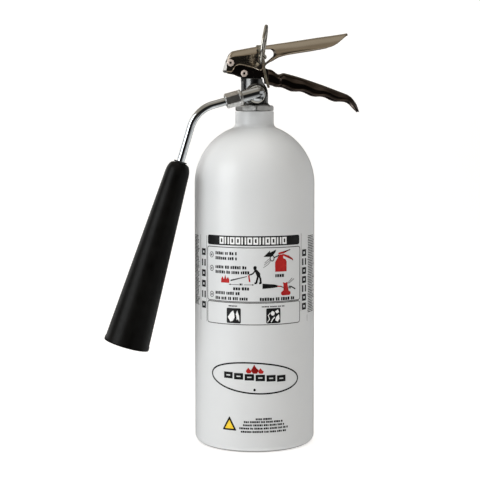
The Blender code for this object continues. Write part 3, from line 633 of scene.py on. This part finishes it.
def make_lever():
    shell = channel(smooth_rows(LEVER_STATIONS, 1.5), lever_lip, crease=35)
    window = arc((17.4, 427.9), 5, 80, -28, 10) + [(14.6, 419.4), (11.8, 417.9), (4, 416.6)]
    window += arc((2.4, 418.6), 1.4, -90, -180, 6) + arc((3, 430.6), 2, 180, 90, 6)
    opening = lofted([[(x, y, z) for x, z in window] for y in (-14, 14)])
    shell = cut(shell, [opening])
    nose = [(-35.1, 409), (-34.2, 407.2), (-30, 406.9), (-29, 419.4), (-28.4, 423.4), (-30.2, 423.6)]
    nose = rounded(nose, 0.5)
    bulge = []
    for i in range(13):
        across = i / 6 - 1
        back = NOSE_BULGE * across ** 2
        bulge.append([(min(x + back, -27.6), NOSE_HALF_WIDTH * across, z) for x, z in nose])
    rest = ("lever", ["operating_lever"], "lever_plating", 34, True)
    piece("lever_pressing", shell, plating, *rest)
    # The nose takes the paler plating as a painted highlight.
    piece("lever_nose", lofted(bulge), plating_painted_highlight, *rest)


def grip_stations():
    """The grip's neck, its body with lips that wave for the fingers, and its curled tip."""
    neck = [
        (11.6, 411.2, 404, 395.6, 8.8), (16.8, 410.8, 404, 394.2, 8.8), (20, 409.6, 403, 393.4, 8.8),
        (24.2, 406.3, 400, 391.9, 8.9), (26.6, 405.5, 399, 391.8, 9.3), (28.4, 405.7, 399, 391.7, 12),
        (31.2, 406.8, 399, 391.5, 12.5),
    ]
    first, last, steps = 36, 103, 12
    root, wave, pitch = 31.2, 1.1, 24
    grip = []
    for i in range(steps + 1):
        x = first + (last - first) * i / steps
        along = (x - root) / (last - root)
        crest = 406.8 - 23.4 * along ** 1.2
        edge = 390.9 - 16.6 * along + wave * math.cos(math.tau * (x - 30) / pitch)
        spring = min(crest - 5.5, edge + 7.5 - 4.5 * along)
        grip.append((x, crest, max(spring, edge + 1), edge, 12.5))
    tip = [
        (107.2, 380.6, 375, 373.2, 11.8), (110.2, 377.2, 372, 369.9, 10.6),
        (112.6, 373.6, 369.2, 367.2, 9.2), (114.2, 369.6, 366.8, 365.4, 8),
        (115.4, 366, 364.2, 363.8, 7.2),
    ]
    return smooth_rows(neck + grip + tip, 1.5)


def make_handle():
    plate = [
        (-30.4, 407.4), (-29.2, 406.2), (-22, 404.9), (-15, 402), (8, 402.3), (10.9, 401.8),
        (11.9, 395.7), (14, 395.2), (14, 410.4), (4, 414.5), (0, 417), (-20, 420.8), (-26, 420.8),
        (-28.9, 419.8), (-30.4, 416.6),
    ]
    plate = rounded(plate, 1.2, 2)
    inner, outer = BRACKET_HALF_WIDTH - SHEET, BRACKET_HALF_WIDTH
    shapes = [channel(grip_stations(), lambda x: GRIP_LIP, crease=0)]
    shapes += [slab(plate, -outer, -inner, 0.35), slab(plate, inner, outer, 0.35)]
    rest = ("extinguisher", ["carry_handle"], "lever_plating", 34, True)
    # The handle takes the darkened plating: painted shade.
    piece("handle_pressing", shapes, plating_painted_shade, *rest)


make_lever()
make_handle()


# Rivets, pin, ring and seal


def make_rivet(name, centre, half_length, node):
    """A hollow rivet along Y. Each rolled head is a list of (radius, rise)."""
    head = [(1.3, 0.2), (1.45, 1.0), (1.8, 1.32), (2.4, 1.34), (3.1, 1.12), (3.6, 0.7), (3.8, 0.3)]
    head += [(3.75, 0), (1.9, 0)]
    profile = [(radius, -half_length - rise) for radius, rise in head]
    profile += [(radius, half_length + rise) for radius, rise in reversed(head)]
    rivet = turned(profile, centre, ALONG_Y, 48, closed=True)
    piece(name, rivet, rivet_steel, "extinguisher", [node], "bright_steel")


def make_pin():
    """The pin with its eye, and the ring that hangs in the eye."""
    back = Vector((math.sin(RING_TURN), math.cos(RING_TURN), 0))
    up = Vector((math.sin(RING_LEAN), 0, math.cos(RING_LEAN)))
    up = (up - back * up.dot(back)).normalized()
    rise = math.sqrt(RING_RADIUS ** 2 - RING_REACH ** 2)
    tangent = (back * rise + up * RING_REACH).normalized()
    shank_end = PIN_EYE.y + EYE_RADIUS - 0.3
    profile = [(0, shank_end), (PIN_RADIUS, shank_end), (PIN_RADIUS, 14.2), (1.9, 14.8), (1.5, 15.6)]
    profile += [(0.9, 16), (0, 16)]
    shank = turned(profile, PIN_CENTRE, ALONG_Y, 40)
    shapes = [shank, torus(PIN_EYE, tangent, EYE_RADIUS, 1.2, 48, 16)]
    piece("pin_wire", shapes, wire_steel, "pin", ["pull_pin"], "bright_steel")
    centre = PIN_EYE - back * RING_REACH + up * rise
    loop = torus(centre, back.cross(up), RING_RADIUS, 1.75, 128, 20)
    piece("ring_wire", loop, wire_steel, "ring", ["pull_ring"], "bright_steel")


def make_seal():
    """A ribbed strap over the lever, with an eyelet round the pin on each side and a loose tail."""
    inner = LEVER_HALF_WIDTH + 0.4
    spring, crest = 428.4, 437
    path = [(-inner, 426.6), (-inner, 427.6)]
    path += [(-inner * math.cos(a), spring + (crest - spring) * math.sin(a)) for a in turn_angles(28)]
    path += [(inner, 427.6), (inner, 426.6)]
    path = [Vector((4.9, y, z)) for y, z in path]
    half = [(1.1, -0.5), (1.3, -1.1), (1.6, -1.4), (2.4, -1.4), (2.6, -1.1), (2.6, 0)]
    strap = [(-side, height) for side, height in reversed(half)] + half
    shapes = [swept(path, strap, Vector((1, 0, 0)))]
    eyelet = [(2.3, 419.4), (3.4, 416.4), (6, 415.8), (8.6, 418.4)]
    eyelet += arc((PIN_CENTRE.x, PIN_CENTRE.z), 4.1, -50, 60, 12) + [(7.5, 429), (7.5, 431), (2.3, 431)]
    low, high = inner + 0.2, inner + 1.4
    for side in (-1, 1):
        near, far = sorted((side * low, side * high))
        hole = turned([(0, -1), (2.3, -1), (2.3, 4), (0, 4)], PIN_CENTRE + ALONG_Y * near, ALONG_Y, 32)
        shapes.append(cut(slab(rounded(eyelet, 0.5, 2), near, far, 0.3), [hole]))
        near, far = sorted((side * (low + 0.9), side * (high + 0.4)))
        rib = rounded([(2.3, 418.6), (3.3, 417.2), (3.3, 430), (2.3, 430)], 0.3, 2)
        shapes.append(slab(rib, near, far, 0.2))
    tail = [(6.8, 420.4), (7.5, 410), (9.8, 399.6), (12.8, 389.8), (15.4, 390.4), (12.6, 400.2)]
    tail += [(10.4, 410.2), (9.9, 420.4)]
    shapes.append(slab(rounded(tail, 2.4, 4), -high + 0.2, -low - 0.2, 0.25))
    piece("seal_strap", shapes, seal_plastic, "extinguisher", ["tamper_seal"], "seal_plastic")


make_rivet("lever_rivet_rolled", LEVER_PIVOT, LEVER_HALF_WIDTH + 0.3, "lever_rivet")
make_rivet("handle_rivet_rolled", HANDLE_RIVET, BRACKET_HALF_WIDTH + 0.3, "handle_rivet")
make_pin()
make_seal()


# Elbow, nut, tube and horn


def rounded_bend(start, corner, end, radius, steps):
    """The path start, corner, end, with its corner rounded to a radius."""
    before = (start - corner).normalized()
    after = (end - corner).normalized()
    half = before.angle(after) / 2
    centre = corner + (before + after).normalized() * (radius / math.sin(half))
    first = (corner + before * (radius / math.tan(half)) - centre).normalized()
    last = (corner + after * (radius / math.tan(half)) - centre).normalized()
    bend = [centre + first.slerp(last, i / steps) * radius for i in range(steps + 1)]
    lead = [start + (bend[0] - start) * i / 4 for i in range(4)]
    run = [bend[-1] + (end - bend[-1]) * (i + 1) / 8 for i in range(8)]
    return lead + bend + run


def make_hexagon(low, high, size):
    """A hexagon nut with turned chamfers, open in the middle for the tube."""
    levels = [(low, size - 0.7), (low + 0.4, size), (high - 1, size), (high - 0.4, size - 0.5)]
    levels += [(high, size - 1.3), (high, NUT_BORE), (low, NUT_BORE)]
    loops = chamfered_prism(6, size, levels)
    return aimed(lofted(loops, capped=False), ARM_START, ARM_DIRECTION)


def make_outlet():
    base = Vector((0, 0, SWIVEL.z))
    cap = [(0, 20.6), (7.8, 20.6), (8.2, 21), (8.2, 27.5)] + arc((3.4, 27.5), 4.8, 8, 78, 10)
    cap.append((0, 33.4))
    arm = [(0, -7.4)] + [(ARM_RADIUS * x, -7.4 * y) for x, y in arc((0, 0), 1, 86, 0, 14)]
    arm += [(ARM_RADIUS, 17), (ARM_RADIUS - 0.5, 17.5), (5.4, 17.5), (5.4, 26), (0, 26)]
    shapes = [turned(cap, base, -ALONG_Y, 72), turned(arm, ARM_START, ARM_DIRECTION, 72)]
    piece("elbow_casting", shapes, chrome, "horn", ["swivel_elbow"], "valve_chrome")
    collar = [(5.7, 18), (8, 18), (8.4, 18.4), (8.4, 20.2), (8, 20.6), (5.7, 20.6)]
    nut = [turned(collar, ARM_START, ARM_DIRECTION, 72, closed=True), make_hexagon(20.2, 36, 8.2)]
    piece("nut_turning", nut, satin_chrome, "horn", ["tube_nut"], "valve_chrome", weighted=True)


def make_tube():
    start = ARM_START + ARM_DIRECTION * 26.8
    end = HORN_TOP + HORN_DIRECTION * 22
    gap = HORN_TOP - ARM_START
    side = ARM_DIRECTION.x * HORN_DIRECTION.z - ARM_DIRECTION.z * HORN_DIRECTION.x
    reach = (gap.x * HORN_DIRECTION.z - gap.z * HORN_DIRECTION.x) / side
    path = rounded_bend(start, ARM_START + ARM_DIRECTION * reach, end, TUBE_BEND, 40)
    section = [(TUBE_RADIUS * math.cos(a), TUBE_RADIUS * math.sin(a)) for a in turn_angles(40)[:-1]]
    section += [(-x, -y) for x, y in section]
    piece("tube_bend", swept(path, section), chrome, "horn", ["horn_tube"], "valve_chrome")


def make_horn():
    top, shoulder, mouth = HORN_TOP_RADIUS, HORN_SHOULDER_RADIUS, HORN_MOUTH_RADIUS
    low, rim = 14.6, 198.4
    profile = [(5.4, 0.2), (5.7, 0), (top - 1.2, 0), (top - 0.4, 0.2)]
    bow = arc((0, 0), 1, 4, 90, 20)
    profile += [(top + (shoulder - top) * y, low - 14 * x) for x, y in bow]
    grow = (mouth - 0.7 - shoulder) / (rim - low)
    profile += [(shoulder + grow * (h - low), h) for h in range(18, 198, 12)]
    profile += [(mouth - 0.7, 199), (mouth - 0.35, 200), (mouth, 200.8), (mouth, 203.6)]
    profile += [(mouth - 0.3, 204.2), (mouth - 0.9, HORN_LENGTH), (22.6, HORN_LENGTH), (22.2, 204)]
    profile += [(21.9, 202), (11.2, 18.2), (9.6, 15.2), (5.4, 15)]
    bell = turned(profile, HORN_TOP, HORN_DIRECTION, 128, closed=True)
    piece("horn_bell", bell, horn_black, "horn", ["discharge_horn"], "horn_plastic")
    grommet = [(4.5, -1.4), (4.9, -1.7), (6.6, -1.7), (7, -1.4), (7.1, -0.4), (5.3, -0.2), (5.3, 15)]
    grommet.append((4.5, 15))
    sleeve = turned(grommet, HORN_TOP, HORN_DIRECTION, 48, closed=True)
    piece("horn_sleeve", sleeve, rubber, "horn", ["horn_grommet"], "rubber")


make_outlet()
make_tube()
make_horn()


# Print on the cylinder. A shape is a list of (along, height) points, with along measured round the
# surface from the front.


PRINT_ANGLE = math.radians(-97)
PRINT_STEP = 3
PRINT_FOOT = 0.02
WORDS = random.Random(4)


def block(left, low, right, high):
    return [(left, low), (right, low), (right, high), (left, high)]


def ellipse(centre, wide, tall, steps, tilt=0.0):
    points = []
    for i in range(steps):
        a = math.tau * i / steps
        offset = Vector((wide * math.cos(a), tall * math.sin(a)))
        offset.rotate(Matrix.Rotation(tilt, 2))
        points.append((centre[0] + offset.x, centre[1] + offset.y))
    return points


def line(points, width, closed=False):
    """A printed line of some width, as a list of shapes."""
    shapes = []
    pairs = list(zip(points, points[1:]))
    if closed:
        pairs.append((points[-1], points[0]))
    for first, last in pairs:
        a, b = Vector(first), Vector(last)
        if (b - a).length < 1e-6:
            continue
        along = (b - a).normalized() * width * 0.2
        side = Vector((-along.y, along.x)).normalized() * width / 2
        corners = (a - along - side, b + along - side, b + along + side, a - along + side)
        shapes.append([tuple(corner) for corner in corners])
    return shapes


def greeked(left, right, height, tall, mark, space):
    """A line of text turned into plain marks in word-like groups."""
    shapes = []
    place = left
    run = WORDS.randint(3, 6)
    while place + mark < right:
        wide = mark * WORDS.uniform(0.7, 1.25)
        top = height + tall / 2 * WORDS.choice((1, 1, 0.8))
        shapes.append(block(place, height - tall / 2, min(place + wide, right), top))
        place += wide + space
        run -= 1
        if run == 0:
            place += space * 2.2
            run = WORDS.randint(2, 6)
    return shapes


def wrapped(layers):
    """Printed shapes as thin films on the cylinder. Each layer is (material index, rise, shapes)."""
    films = []
    for index, rise, shapes in layers:
        for shape in shapes:
            film = bmesh.new()
            film.faces.new([film.verts.new((x, 0, z)) for x, z in shape])
            bmesh.ops.triangulate(film, faces=film.faces)
            left, right = min(x for x, z in shape), max(x for x, z in shape)
            seam = (math.floor(left / PRINT_STEP) + 1) * PRINT_STEP
            while seam < right:
                geometry = film.verts[:] + film.edges[:] + film.faces[:]
                bmesh.ops.bisect_plane(
                    film, geom=geometry, plane_co=(seam, 0, 0), plane_no=(1, 0, 0), dist=1e-5,
                )
                seam += PRINT_STEP
            bmesh.ops.solidify(film, geom=film.faces[:], thickness=1)
            outside = max(vert.co.y for vert in film.verts)
            for face in film.faces:
                face.material_index = index
            for vert in film.verts:
                top = abs(vert.co.y - outside) < 0.5
                radius = CYLINDER_RADIUS + (rise if top else PRINT_FOOT)
                a = PRINT_ANGLE + vert.co.x / CYLINDER_RADIUS
                vert.co = (radius * math.cos(a), radius * math.sin(a), vert.co.z)
            films.append(film)
    return gathered(films)


def frame_line(left, low, right, high):
    return line(rounded(block(left, low, right, high), 3, 5), 0.85, closed=True)


def bold_mark(left, low, wide, tall, stroke, closed=True):
    """A plain box that stands for one bold letter, or only its two sides."""
    right, high = left + wide, low + tall
    uprights = [block(left, low, left + stroke, high), block(right - stroke, low, right, high)]
    if not closed:
        return uprights
    levels = (low, high - stroke)
    return uprights + [block(left + stroke, z, right - stroke, z + stroke) for z in levels]


def panel_frames():
    """The heading bar, the two framed panels and the thin upright rules."""
    heading = rounded(block(-56.6, 222.7, 53.5, 233), 2.6, 5)
    marks = []
    for i in range(12):
        marks += bold_mark(-39.4 + i * 6.35, 224.1, 5.2, 7.5, 1.7, i % 3 != 1)
    rules = frame_line(-57.2, 163, 54.4, 220.6) + frame_line(-57.2, 138.6, 54.4, 161.8)
    for x, low, high in ((-71.4, 139, 232), (-59.2, 139, 232), (56.4, 150, 234), (68.4, 138, 145)):
        rules.append(block(x, low, x + 0.4, high))
    return heading, marks, rules


def panel_text():
    """Greeked text: bold columns at the sides, fine print beyond them, and the lines in the panel."""
    marks = []
    for i in range(6):
        marks += bold_mark(-68.2, 210.2 - i * 11.46, 7.4, 7.3, 2.4, i % 3 != 1)
    for i in range(7):
        marks += bold_mark(58.4, 209.2 - i * 9.67, 7.6, 7.3, 2.4, i % 3 != 1)
    for row in range(49):
        marks += greeked(-91, -73.4 - WORDS.uniform(0, 3), 155.4 + row * 1.56, 0.85, 2.8, 0.45)
    for row in range(46):
        left, right = 69.6 + WORDS.uniform(0, 1), 92.4 - WORDS.uniform(0, 7)
        marks += greeked(left, right, 147.6 + row * 1.84, 1, 2.8, 0.45)
    rows = [(-45, -17, 214.2), (-45, -17.4, 208.8), (-45, -8.4, 199.4), (-45, -5.6, 194.1)]
    rows += [(-45, -15.6, 171.8), (-45, -5.6, 166.2)]
    for left, right, height in rows:
        marks += greeked(left, right, height, 3.3, 1.7, 0.6)
    notes = ((22.4, 34.4, 190.6, 3.2), (-23.2, -4.6, 177, 3.3), (5.6, 48.4, 165.8, 3.5))
    for left, right, height, tall in notes:
        marks += greeked(left, right, height, tall, 2.1, 0.6)
    for left, right, height in ((-28.4, -17.1, 158.3), (7.7, 33.4, 157.9)):
        marks += greeked(left, right, height, 1.3, 1.2, 0.4)
    return marks


def step_rings():
    """A ring and a dot before each pair of lines."""
    shapes = []
    for centre in ((-50.6, 211.9), (-50.5, 197.4), (-50.4, 169.4)):
        shapes += line(ellipse(centre, 2.5, 2.9, 20), 0.6, closed=True)
        shapes.append(ellipse(centre, 0.9, 1.2, 12))
    return shapes


def pulled_pin():
    """An extinguisher, the ring drawn from it and an arrow, as black, red and grey shapes."""
    bottle = [(22.3, 194.8), (35.7, 194.8), (35.9, 205), (34.6, 207.6), (31.6, 209), (31.4, 213)]
    bottle += [(27, 213), (26.8, 209), (23.6, 207.6), (22.1, 205)]
    red = [bottle]
    red.append([(26.4, 212), (31.5, 211.6), (44.2, 206.2), (43.4, 208.4), (38, 211.6), (31.8, 213.6)])
    red.append([(25.4, 213.2), (32, 214), (40, 217.6), (33, 216.6), (26.4, 215.2)])
    black = line([(31.5, 215.6), (40.2, 217.8)], 1.1) + line([(38, 211.2), (44, 206.4)], 1.2)
    black += line(ellipse((18.8, 209.4), 2.2, 3, 16), 1, closed=True)
    black += line([(21, 210), (26.6, 212.2)], 1.2)
    arrow = [(9.4, 211), (16.6, 217.6), (16.6, 215.4), (23.4, 218.6), (22.6, 215.8), (17, 213)]
    black.append(arrow + [(18.4, 211)])
    grey = []
    for rise in (0, 2.6, 5):
        strand = [(9.4 + rise * 0.3, 199.6 + rise), (14.5, 203 + rise), (17, 206 + rise * 0.6)]
        grey += line(strand, 0.5)
    return black, red, grey


def aimed_horn():
    """A figure that aims at the foot of a fire."""
    black = [ellipse((0.5, 199.4), 1.8, 2.1, 14)]
    black.append([(-1, 197.6), (2.2, 197.8), (6, 193.6), (5.9, 190.4), (2.4, 190.6), (1, 194.2)])
    black += line([(0.8, 196.4), (-1.8, 193.2), (-5.4, 191.8)], 1.4)
    black += line([(3.8, 191.8), (2.9, 187.6), (1.8, 183.2), (0.2, 183)], 2)
    black += line([(4.6, 191.8), (6.2, 187.8), (6.7, 183.2), (5.1, 183)], 2)
    red = [[(-6.9, 191.4), (-5.4, 191.6), (-4.4, 184.6), (-6, 184.4)]]
    for x, top in ((-36, 189.6), (-32.6, 191), (-29.4, 189.2)):
        flame = [(x - 1.7, 182.8), (x + 1.7, 182.8), (x + 1.9, 186.2), (x + 0.2, top), (x - 1.4, 187)]
        red.append(flame)
    grey = [[(-8, 190.6), (-8, 189.8), (-26.4, 184.6), (-26, 186.4)]]
    grey += line([(-26.6, 181.3), (-17, 181.3)], 0.5) + line([(-11, 181.3), (-2, 181.3)], 0.5)
    black.append([(-28.4, 181.3), (-26, 182.2), (-26, 180.4)])
    black.append([(-0.2, 181.3), (-2.6, 182.2), (-2.6, 180.4)])
    black += greeked(-16, -12, 181.6, 2, 1.4, 0.4)
    return black, red, grey


def squeezed_lever():
    """An extinguisher with its horn raised."""
    black = [[(8.4, 177), (8.4, 182.6), (21, 181.4), (25, 180.4), (25, 178.4), (21, 177.8)]]
    black += line([(28.6, 179.2), (31.6, 177.8), (33.4, 176.2)], 1)
    black += line([(38.6, 178.6), (42, 178), (47.4, 175.2)], 1.3)
    black += line([(38.4, 177), (41.4, 176.6)], 1.1)
    red = line([(25, 179.4), (29, 179)], 1.2) + line([(31.6, 182.6), (34.2, 181.4), (36.6, 182.6)], 1.5)
    bottle = [(29, 170.6), (30.6, 169.2), (39.4, 169.2), (41, 170.6), (40.8, 172.6), (37.4, 174.8)]
    red.append(bottle + [(36.8, 182), (31.8, 182), (32, 174.8), (29.2, 172.6)])
    grey = line([(36.8, 181.8), (43, 187)], 0.6) + line([(38.4, 181.6), (45.6, 186.2)], 0.6)
    return black, red, grey


def dark_squares():
    """Two dark squares with plain light shapes in them."""
    black = [rounded(block(left, 139.9, left + 16, 156.1), 1.6, 4) for left in (-30.7, 12.4)]
    leaf = [(-29.4, 146.4), (-25.6, 151.6), (-23.2, 153.6), (-22, 150), (-21.6, 146), (-23.6, 142.4)]
    white = [leaf + [(-26.4, 141.6)]]
    spear = [(-20.6, 141.6), (-18.2, 144.6), (-16.2, 141.8), (-16.6, 148), (-18.6, 153.8)]
    white.append(spear + [(-20.2, 149.6), (-19.4, 146)])
    white.append(ellipse((19.6, 150.6), 2.1, 2.4, 14))
    white.append([(22.2, 152.6), (25.4, 154.6), (26.8, 151.6), (24, 150.4)])
    white.append([(23.4, 146.6), (26.6, 149.4), (27.4, 144.6), (25.2, 141.6), (22.4, 143)])
    white += line([(13.8, 141.4), (16.2, 144.6), (14.6, 148.4), (17, 151.4)], 0.7)
    white += line([(18, 141.6), (19.6, 144.4), (21.6, 146.4)], 1.1)
    return black, white


def make_instruction_print():
    heading, heading_marks, grey = panel_frames()
    squares, white = dark_squares()
    black = [heading] + squares + panel_text() + step_rings()
    red = []
    for picture in (pulled_pin, aimed_horn, squeezed_lever):
        dark, bright, pale = picture()
        black += dark
        red += bright
        grey += pale
    layers = [(0, 0.1, black), (1, 0.1, red), (2, 0.16, white + heading_marks), (3, 0.08, grey)]
    inks = [black_ink, red_ink, white_ink, grey_ink]
    rest = ("extinguisher", ["instruction_label"], "label_print")
    piece("instruction_print", wrapped(layers), inks, *rest)


FLAME = [(-0.3, 0), (-0.6, 0.35), (-0.1, 1), (0.25, 0.6), (0.6, 0.4), (0.35, 0)]


def make_emblem_print():
    """A plain oval badge with a flame and a row of bold marks."""
    tilt = math.radians(-3.6)
    black = line(ellipse((0.7, 81.2), 50.6, 16.4, 90, tilt), 1.6, closed=True)
    for i in range(6):
        left = -34 + i * 11.7
        black += bold_mark(left, 78.6 + (left + 5) * math.tan(tilt), 10.1, 6.9, 2.8)
    black.append(ellipse((0, 68.8), 1.3, 1.5, 14))
    red = []
    for x, base, wide, tall in ((-6.2, 86.6, 5.4, 6.4), (0.3, 86.3, 7, 9.8), (6.8, 86.2, 5.4, 6.2)):
        flame = [(x + wide * across, base + tall * up) for across, up in FLAME]
        red.append(rounded(flame, 0.8, 3))
    layers = [(0, 0.1, black), (1, 0.1, red)]
    rest = ("extinguisher", ["emblem_label"], "emblem_print")
    piece("emblem_print", wrapped(layers), [black_ink, red_ink], *rest)


def make_note_print():
    """A plain yellow triangle and a few lines of greeked text."""
    triangle = [(-27.7, 39.6), (-36, 24.2), (-19.4, 24.2)]
    black = []
    rows = [(1.2, 19.4, 37.3), (-11.5, 32.4, 34.1), (-12.4, 33.2, 30.6), (-16.5, 38.2, 27.1)]
    rows.append((-14.8, 36.6, 23.5))
    for left, right, height in rows:
        black += greeked(left, right, height, 2.1, 1.5, 0.35)
    border, field = rounded(triangle, 1.4, 4), rounded(inset(triangle, 1.9), 0.6, 3)
    layers = [(0, 0.08, [border]), (1, 0.14, [field]), (0, 0.08, black)]
    rest = ("extinguisher", ["caution_label"], "label_print")
    piece("note_print", wrapped(layers), [black_ink, yellow_ink], *rest)


make_instruction_print()
make_emblem_print()
make_note_print()


# The CAD pieces that stay as they are

CAD_FINISH = {
    "neck_o_ring": rubber, "poppet_seal": rubber, "stem_o_ring": rubber, "swivel_o_ring": rubber,
    "siphon_tube": siphon_plastic, "swivel_washer": siphon_plastic, "spring_retainer": aluminium,
    "burst_disc": wire_steel, "burst_disc_washer": brass, "burst_disc_plug": brass, "valve_stem": brass,
    "swivel_nipple": brass, "tube_ferrule": brass, "horn_lock_nut": brass, "horn_nozzle": brass,
}
for node, finish in CAD_FINISH.items():
    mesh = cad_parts[node].data
    mesh.materials.clear()
    mesh.materials.append(finish)


# Stage, lights and camera


def studio_object(name, bm, finish):
    """Part of the studio that the object's gloss doesn't see."""
    obj = added(name, mesh_from(bm, name))
    obj.data.materials.append(finish)
    obj.visible_glossy = False
    return obj


def make_sweep():
    """A pale floor that curves up into a backdrop."""
    front, back, top, bend, half = -2600, 1500, 2600, 700, 2600
    curve = [(back + y, bend + z) for y, z in arc((0, 0), bend, -90, 0, 24)]
    profile = [(front, 0)] + curve + [(back + bend, top)]
    bm = bmesh.new()
    rows = [[bm.verts.new((x * MM, y * MM, z * MM)) for y, z in profile] for x in (-half, half)]
    for i in range(len(profile) - 1):
        bm.faces.new((rows[0][i], rows[0][i + 1], rows[1][i + 1], rows[1][i]))
    pale = material(
        "pale_floor", (0.42, 0.42, 0.42), (0.44, 0.44, 0.44), 0, (0.8, 0.9), 3, [(300, 0.05, 0.1)],
        {"Emission Color": (1, 0.985, 0.965, 1), "Emission Strength": 0.78},
    )
    sweep = studio_object("sweep", bm, pale)
    sweep.data.shade_smooth()


def make_walls():
    """A round pale wall that closes the studio. Only the camera sees it."""
    radius, height = 2600 * MM, 3600 * MM
    bm = bmesh.new()
    bmesh.ops.create_cone(bm, segments=64, radius1=radius, radius2=radius, depth=height, cap_ends=False)
    bmesh.ops.translate(bm, vec=(0, 0, height / 2), verts=bm.verts)
    pale = material(
        "pale_wall", (0.3, 0.3, 0.3), (0.32, 0.32, 0.32), 0, (0.8, 0.9), 3,
        sockets={"Emission Color": (1, 1, 1, 1), "Emission Strength": 0.9},
    )
    wall = studio_object("walls", bm, pale)
    wall.visible_diffuse = False
    wall.visible_transmission = False
    wall.visible_shadow = False


def softbox(name, place, target, size, power, colour):
    light = bpy.data.lights.new(name, "AREA")
    light.shape = "RECTANGLE"
    light.size, light.size_y = size
    light.energy = power
    light.color = colour
    lamp = added(name, light)
    lamp.location = place
    lamp.rotation_euler = (Vector(target) - Vector(place)).to_track_quat("-Z", "Y").to_euler()
    return lamp


# Brightness of the studio by height, from -1 straight down to 1 straight up
SURROUNDINGS = [
    (-1, (0.85, 0.85, 0.84)), (-0.78, (0.7, 0.7, 0.69)), (-0.58, (0.1, 0.1, 0.1)),
    (-0.38, (0.012, 0.012, 0.012)), (0.3, (0.012, 0.012, 0.012)), (0.48, (0.27, 0.24, 0.195)),
    (0.7, (0.33, 0.297, 0.25)), (0.86, (0.27, 0.243, 0.205)), (0.96, (0.45, 0.43, 0.39)),
]


def make_light():
    """Soft lights, and plain studio walls that only the object's gloss sees, dark at eye level."""
    world = bpy.data.worlds.new("studio")
    world.use_nodes = True
    nodes, links = world.node_tree.nodes, world.node_tree.links
    direction = nodes.new("ShaderNodeTexCoord")
    axes = nodes.new("ShaderNodeSeparateXYZ")
    links.new(direction.outputs["Generated"], axes.inputs["Vector"])

    def span(axis, low, high, first, last, curve="SMOOTHSTEP"):
        """Goes from one value to another along an axis."""
        step = map_range(nodes, low, high, first, last)
        step.interpolation_type = curve
        links.new(axes.outputs[axis], step.inputs["Value"])
        return step.outputs["Result"]

    def joined(operation, whole, *others):
        for other in others:
            both = nodes.new("ShaderNodeVectorMath")
            both.operation = operation
            links.new(whole, both.inputs[0])
            links.new(other, both.inputs[1])
            whole = both.outputs["Vector"]
        return whole

    walls = nodes.new("ShaderNodeValToRGB")
    stops = walls.color_ramp.elements
    while len(stops) < len(SURROUNDINGS):
        stops.new(0.5)
    for stop, (height, colour) in zip(stops, SURROUNDINGS):
        stop.position = (height + 1) / 2
        stop.color = (*colour, 1)
    links.new(span("Z", -1, 1, 0, 1, "LINEAR"), walls.inputs["Fac"])
    dimmed = joined("MULTIPLY", walls.outputs["Color"], span("X", 0.05, 0.6, 1, 0.25))
    strip = joined(
        "MULTIPLY", span("X", -0.4, -0.13, 1, 0), span("Y", 0.3, 0.5, 0, 1.15),
        span("Z", 0.015, 0.07, 0, 1), span("Z", 0.5, 0.65, 1, 0),
    )
    panel = joined(
        "MULTIPLY", span("X", 0.35, 0.6, 0, 0.44),
        span("Z", 0.2, 0.4, 1, 0), span("Z", -0.5, -0.3, 0, 1),
    )
    links.new(joined("ADD", dimmed, strip, panel), nodes["Background"].inputs["Color"])
    bpy.context.scene.world = world
    middle = (0, 0, 0.28)
    softbox("key", (-1.5, -0.8, 0.62), middle, (1.1, 1.7), 19.6, (0.955, 0.98, 1))
    softbox("fill", (1.6, -0.55, 0.6), middle, (0.9, 1.4), 0.2, (1, 0.85, 0.68))
    softbox("top", (-0.1, -0.3, 1.75), middle, (1.2, 1.2), 16, (1, 0.985, 0.96)).visible_glossy = False


CAMERA_AZIMUTH = math.radians(-7)
CAMERA_DISTANCE = 1.421
CAMERA_HEIGHT = 0.3526
CAMERA_PITCH = math.radians(4.2)
SENSOR_WIDTH = 36
FOCAL_LENGTH = 95.752577
LENS_SHIFT = (-0.03, -0.0520996)


def make_camera():
    lens = bpy.data.cameras.new("camera")
    lens.sensor_width = SENSOR_WIDTH
    lens.lens = FOCAL_LENGTH
    lens.shift_x, lens.shift_y = LENS_SHIFT
    lens.clip_end = 20
    camera = added("camera", lens)
    camera.location = (
        CAMERA_DISTANCE * math.sin(CAMERA_AZIMUTH),
        -CAMERA_DISTANCE * math.cos(CAMERA_AZIMUTH),
        CAMERA_HEIGHT,
    )
    camera.rotation_euler = (math.pi / 2 - CAMERA_PITCH, 0, CAMERA_AZIMUTH)
    bpy.context.scene.camera = camera


make_sweep()
make_walls()
make_light()
make_camera()
bpy.context.scene.view_settings.view_transform = "Standard"
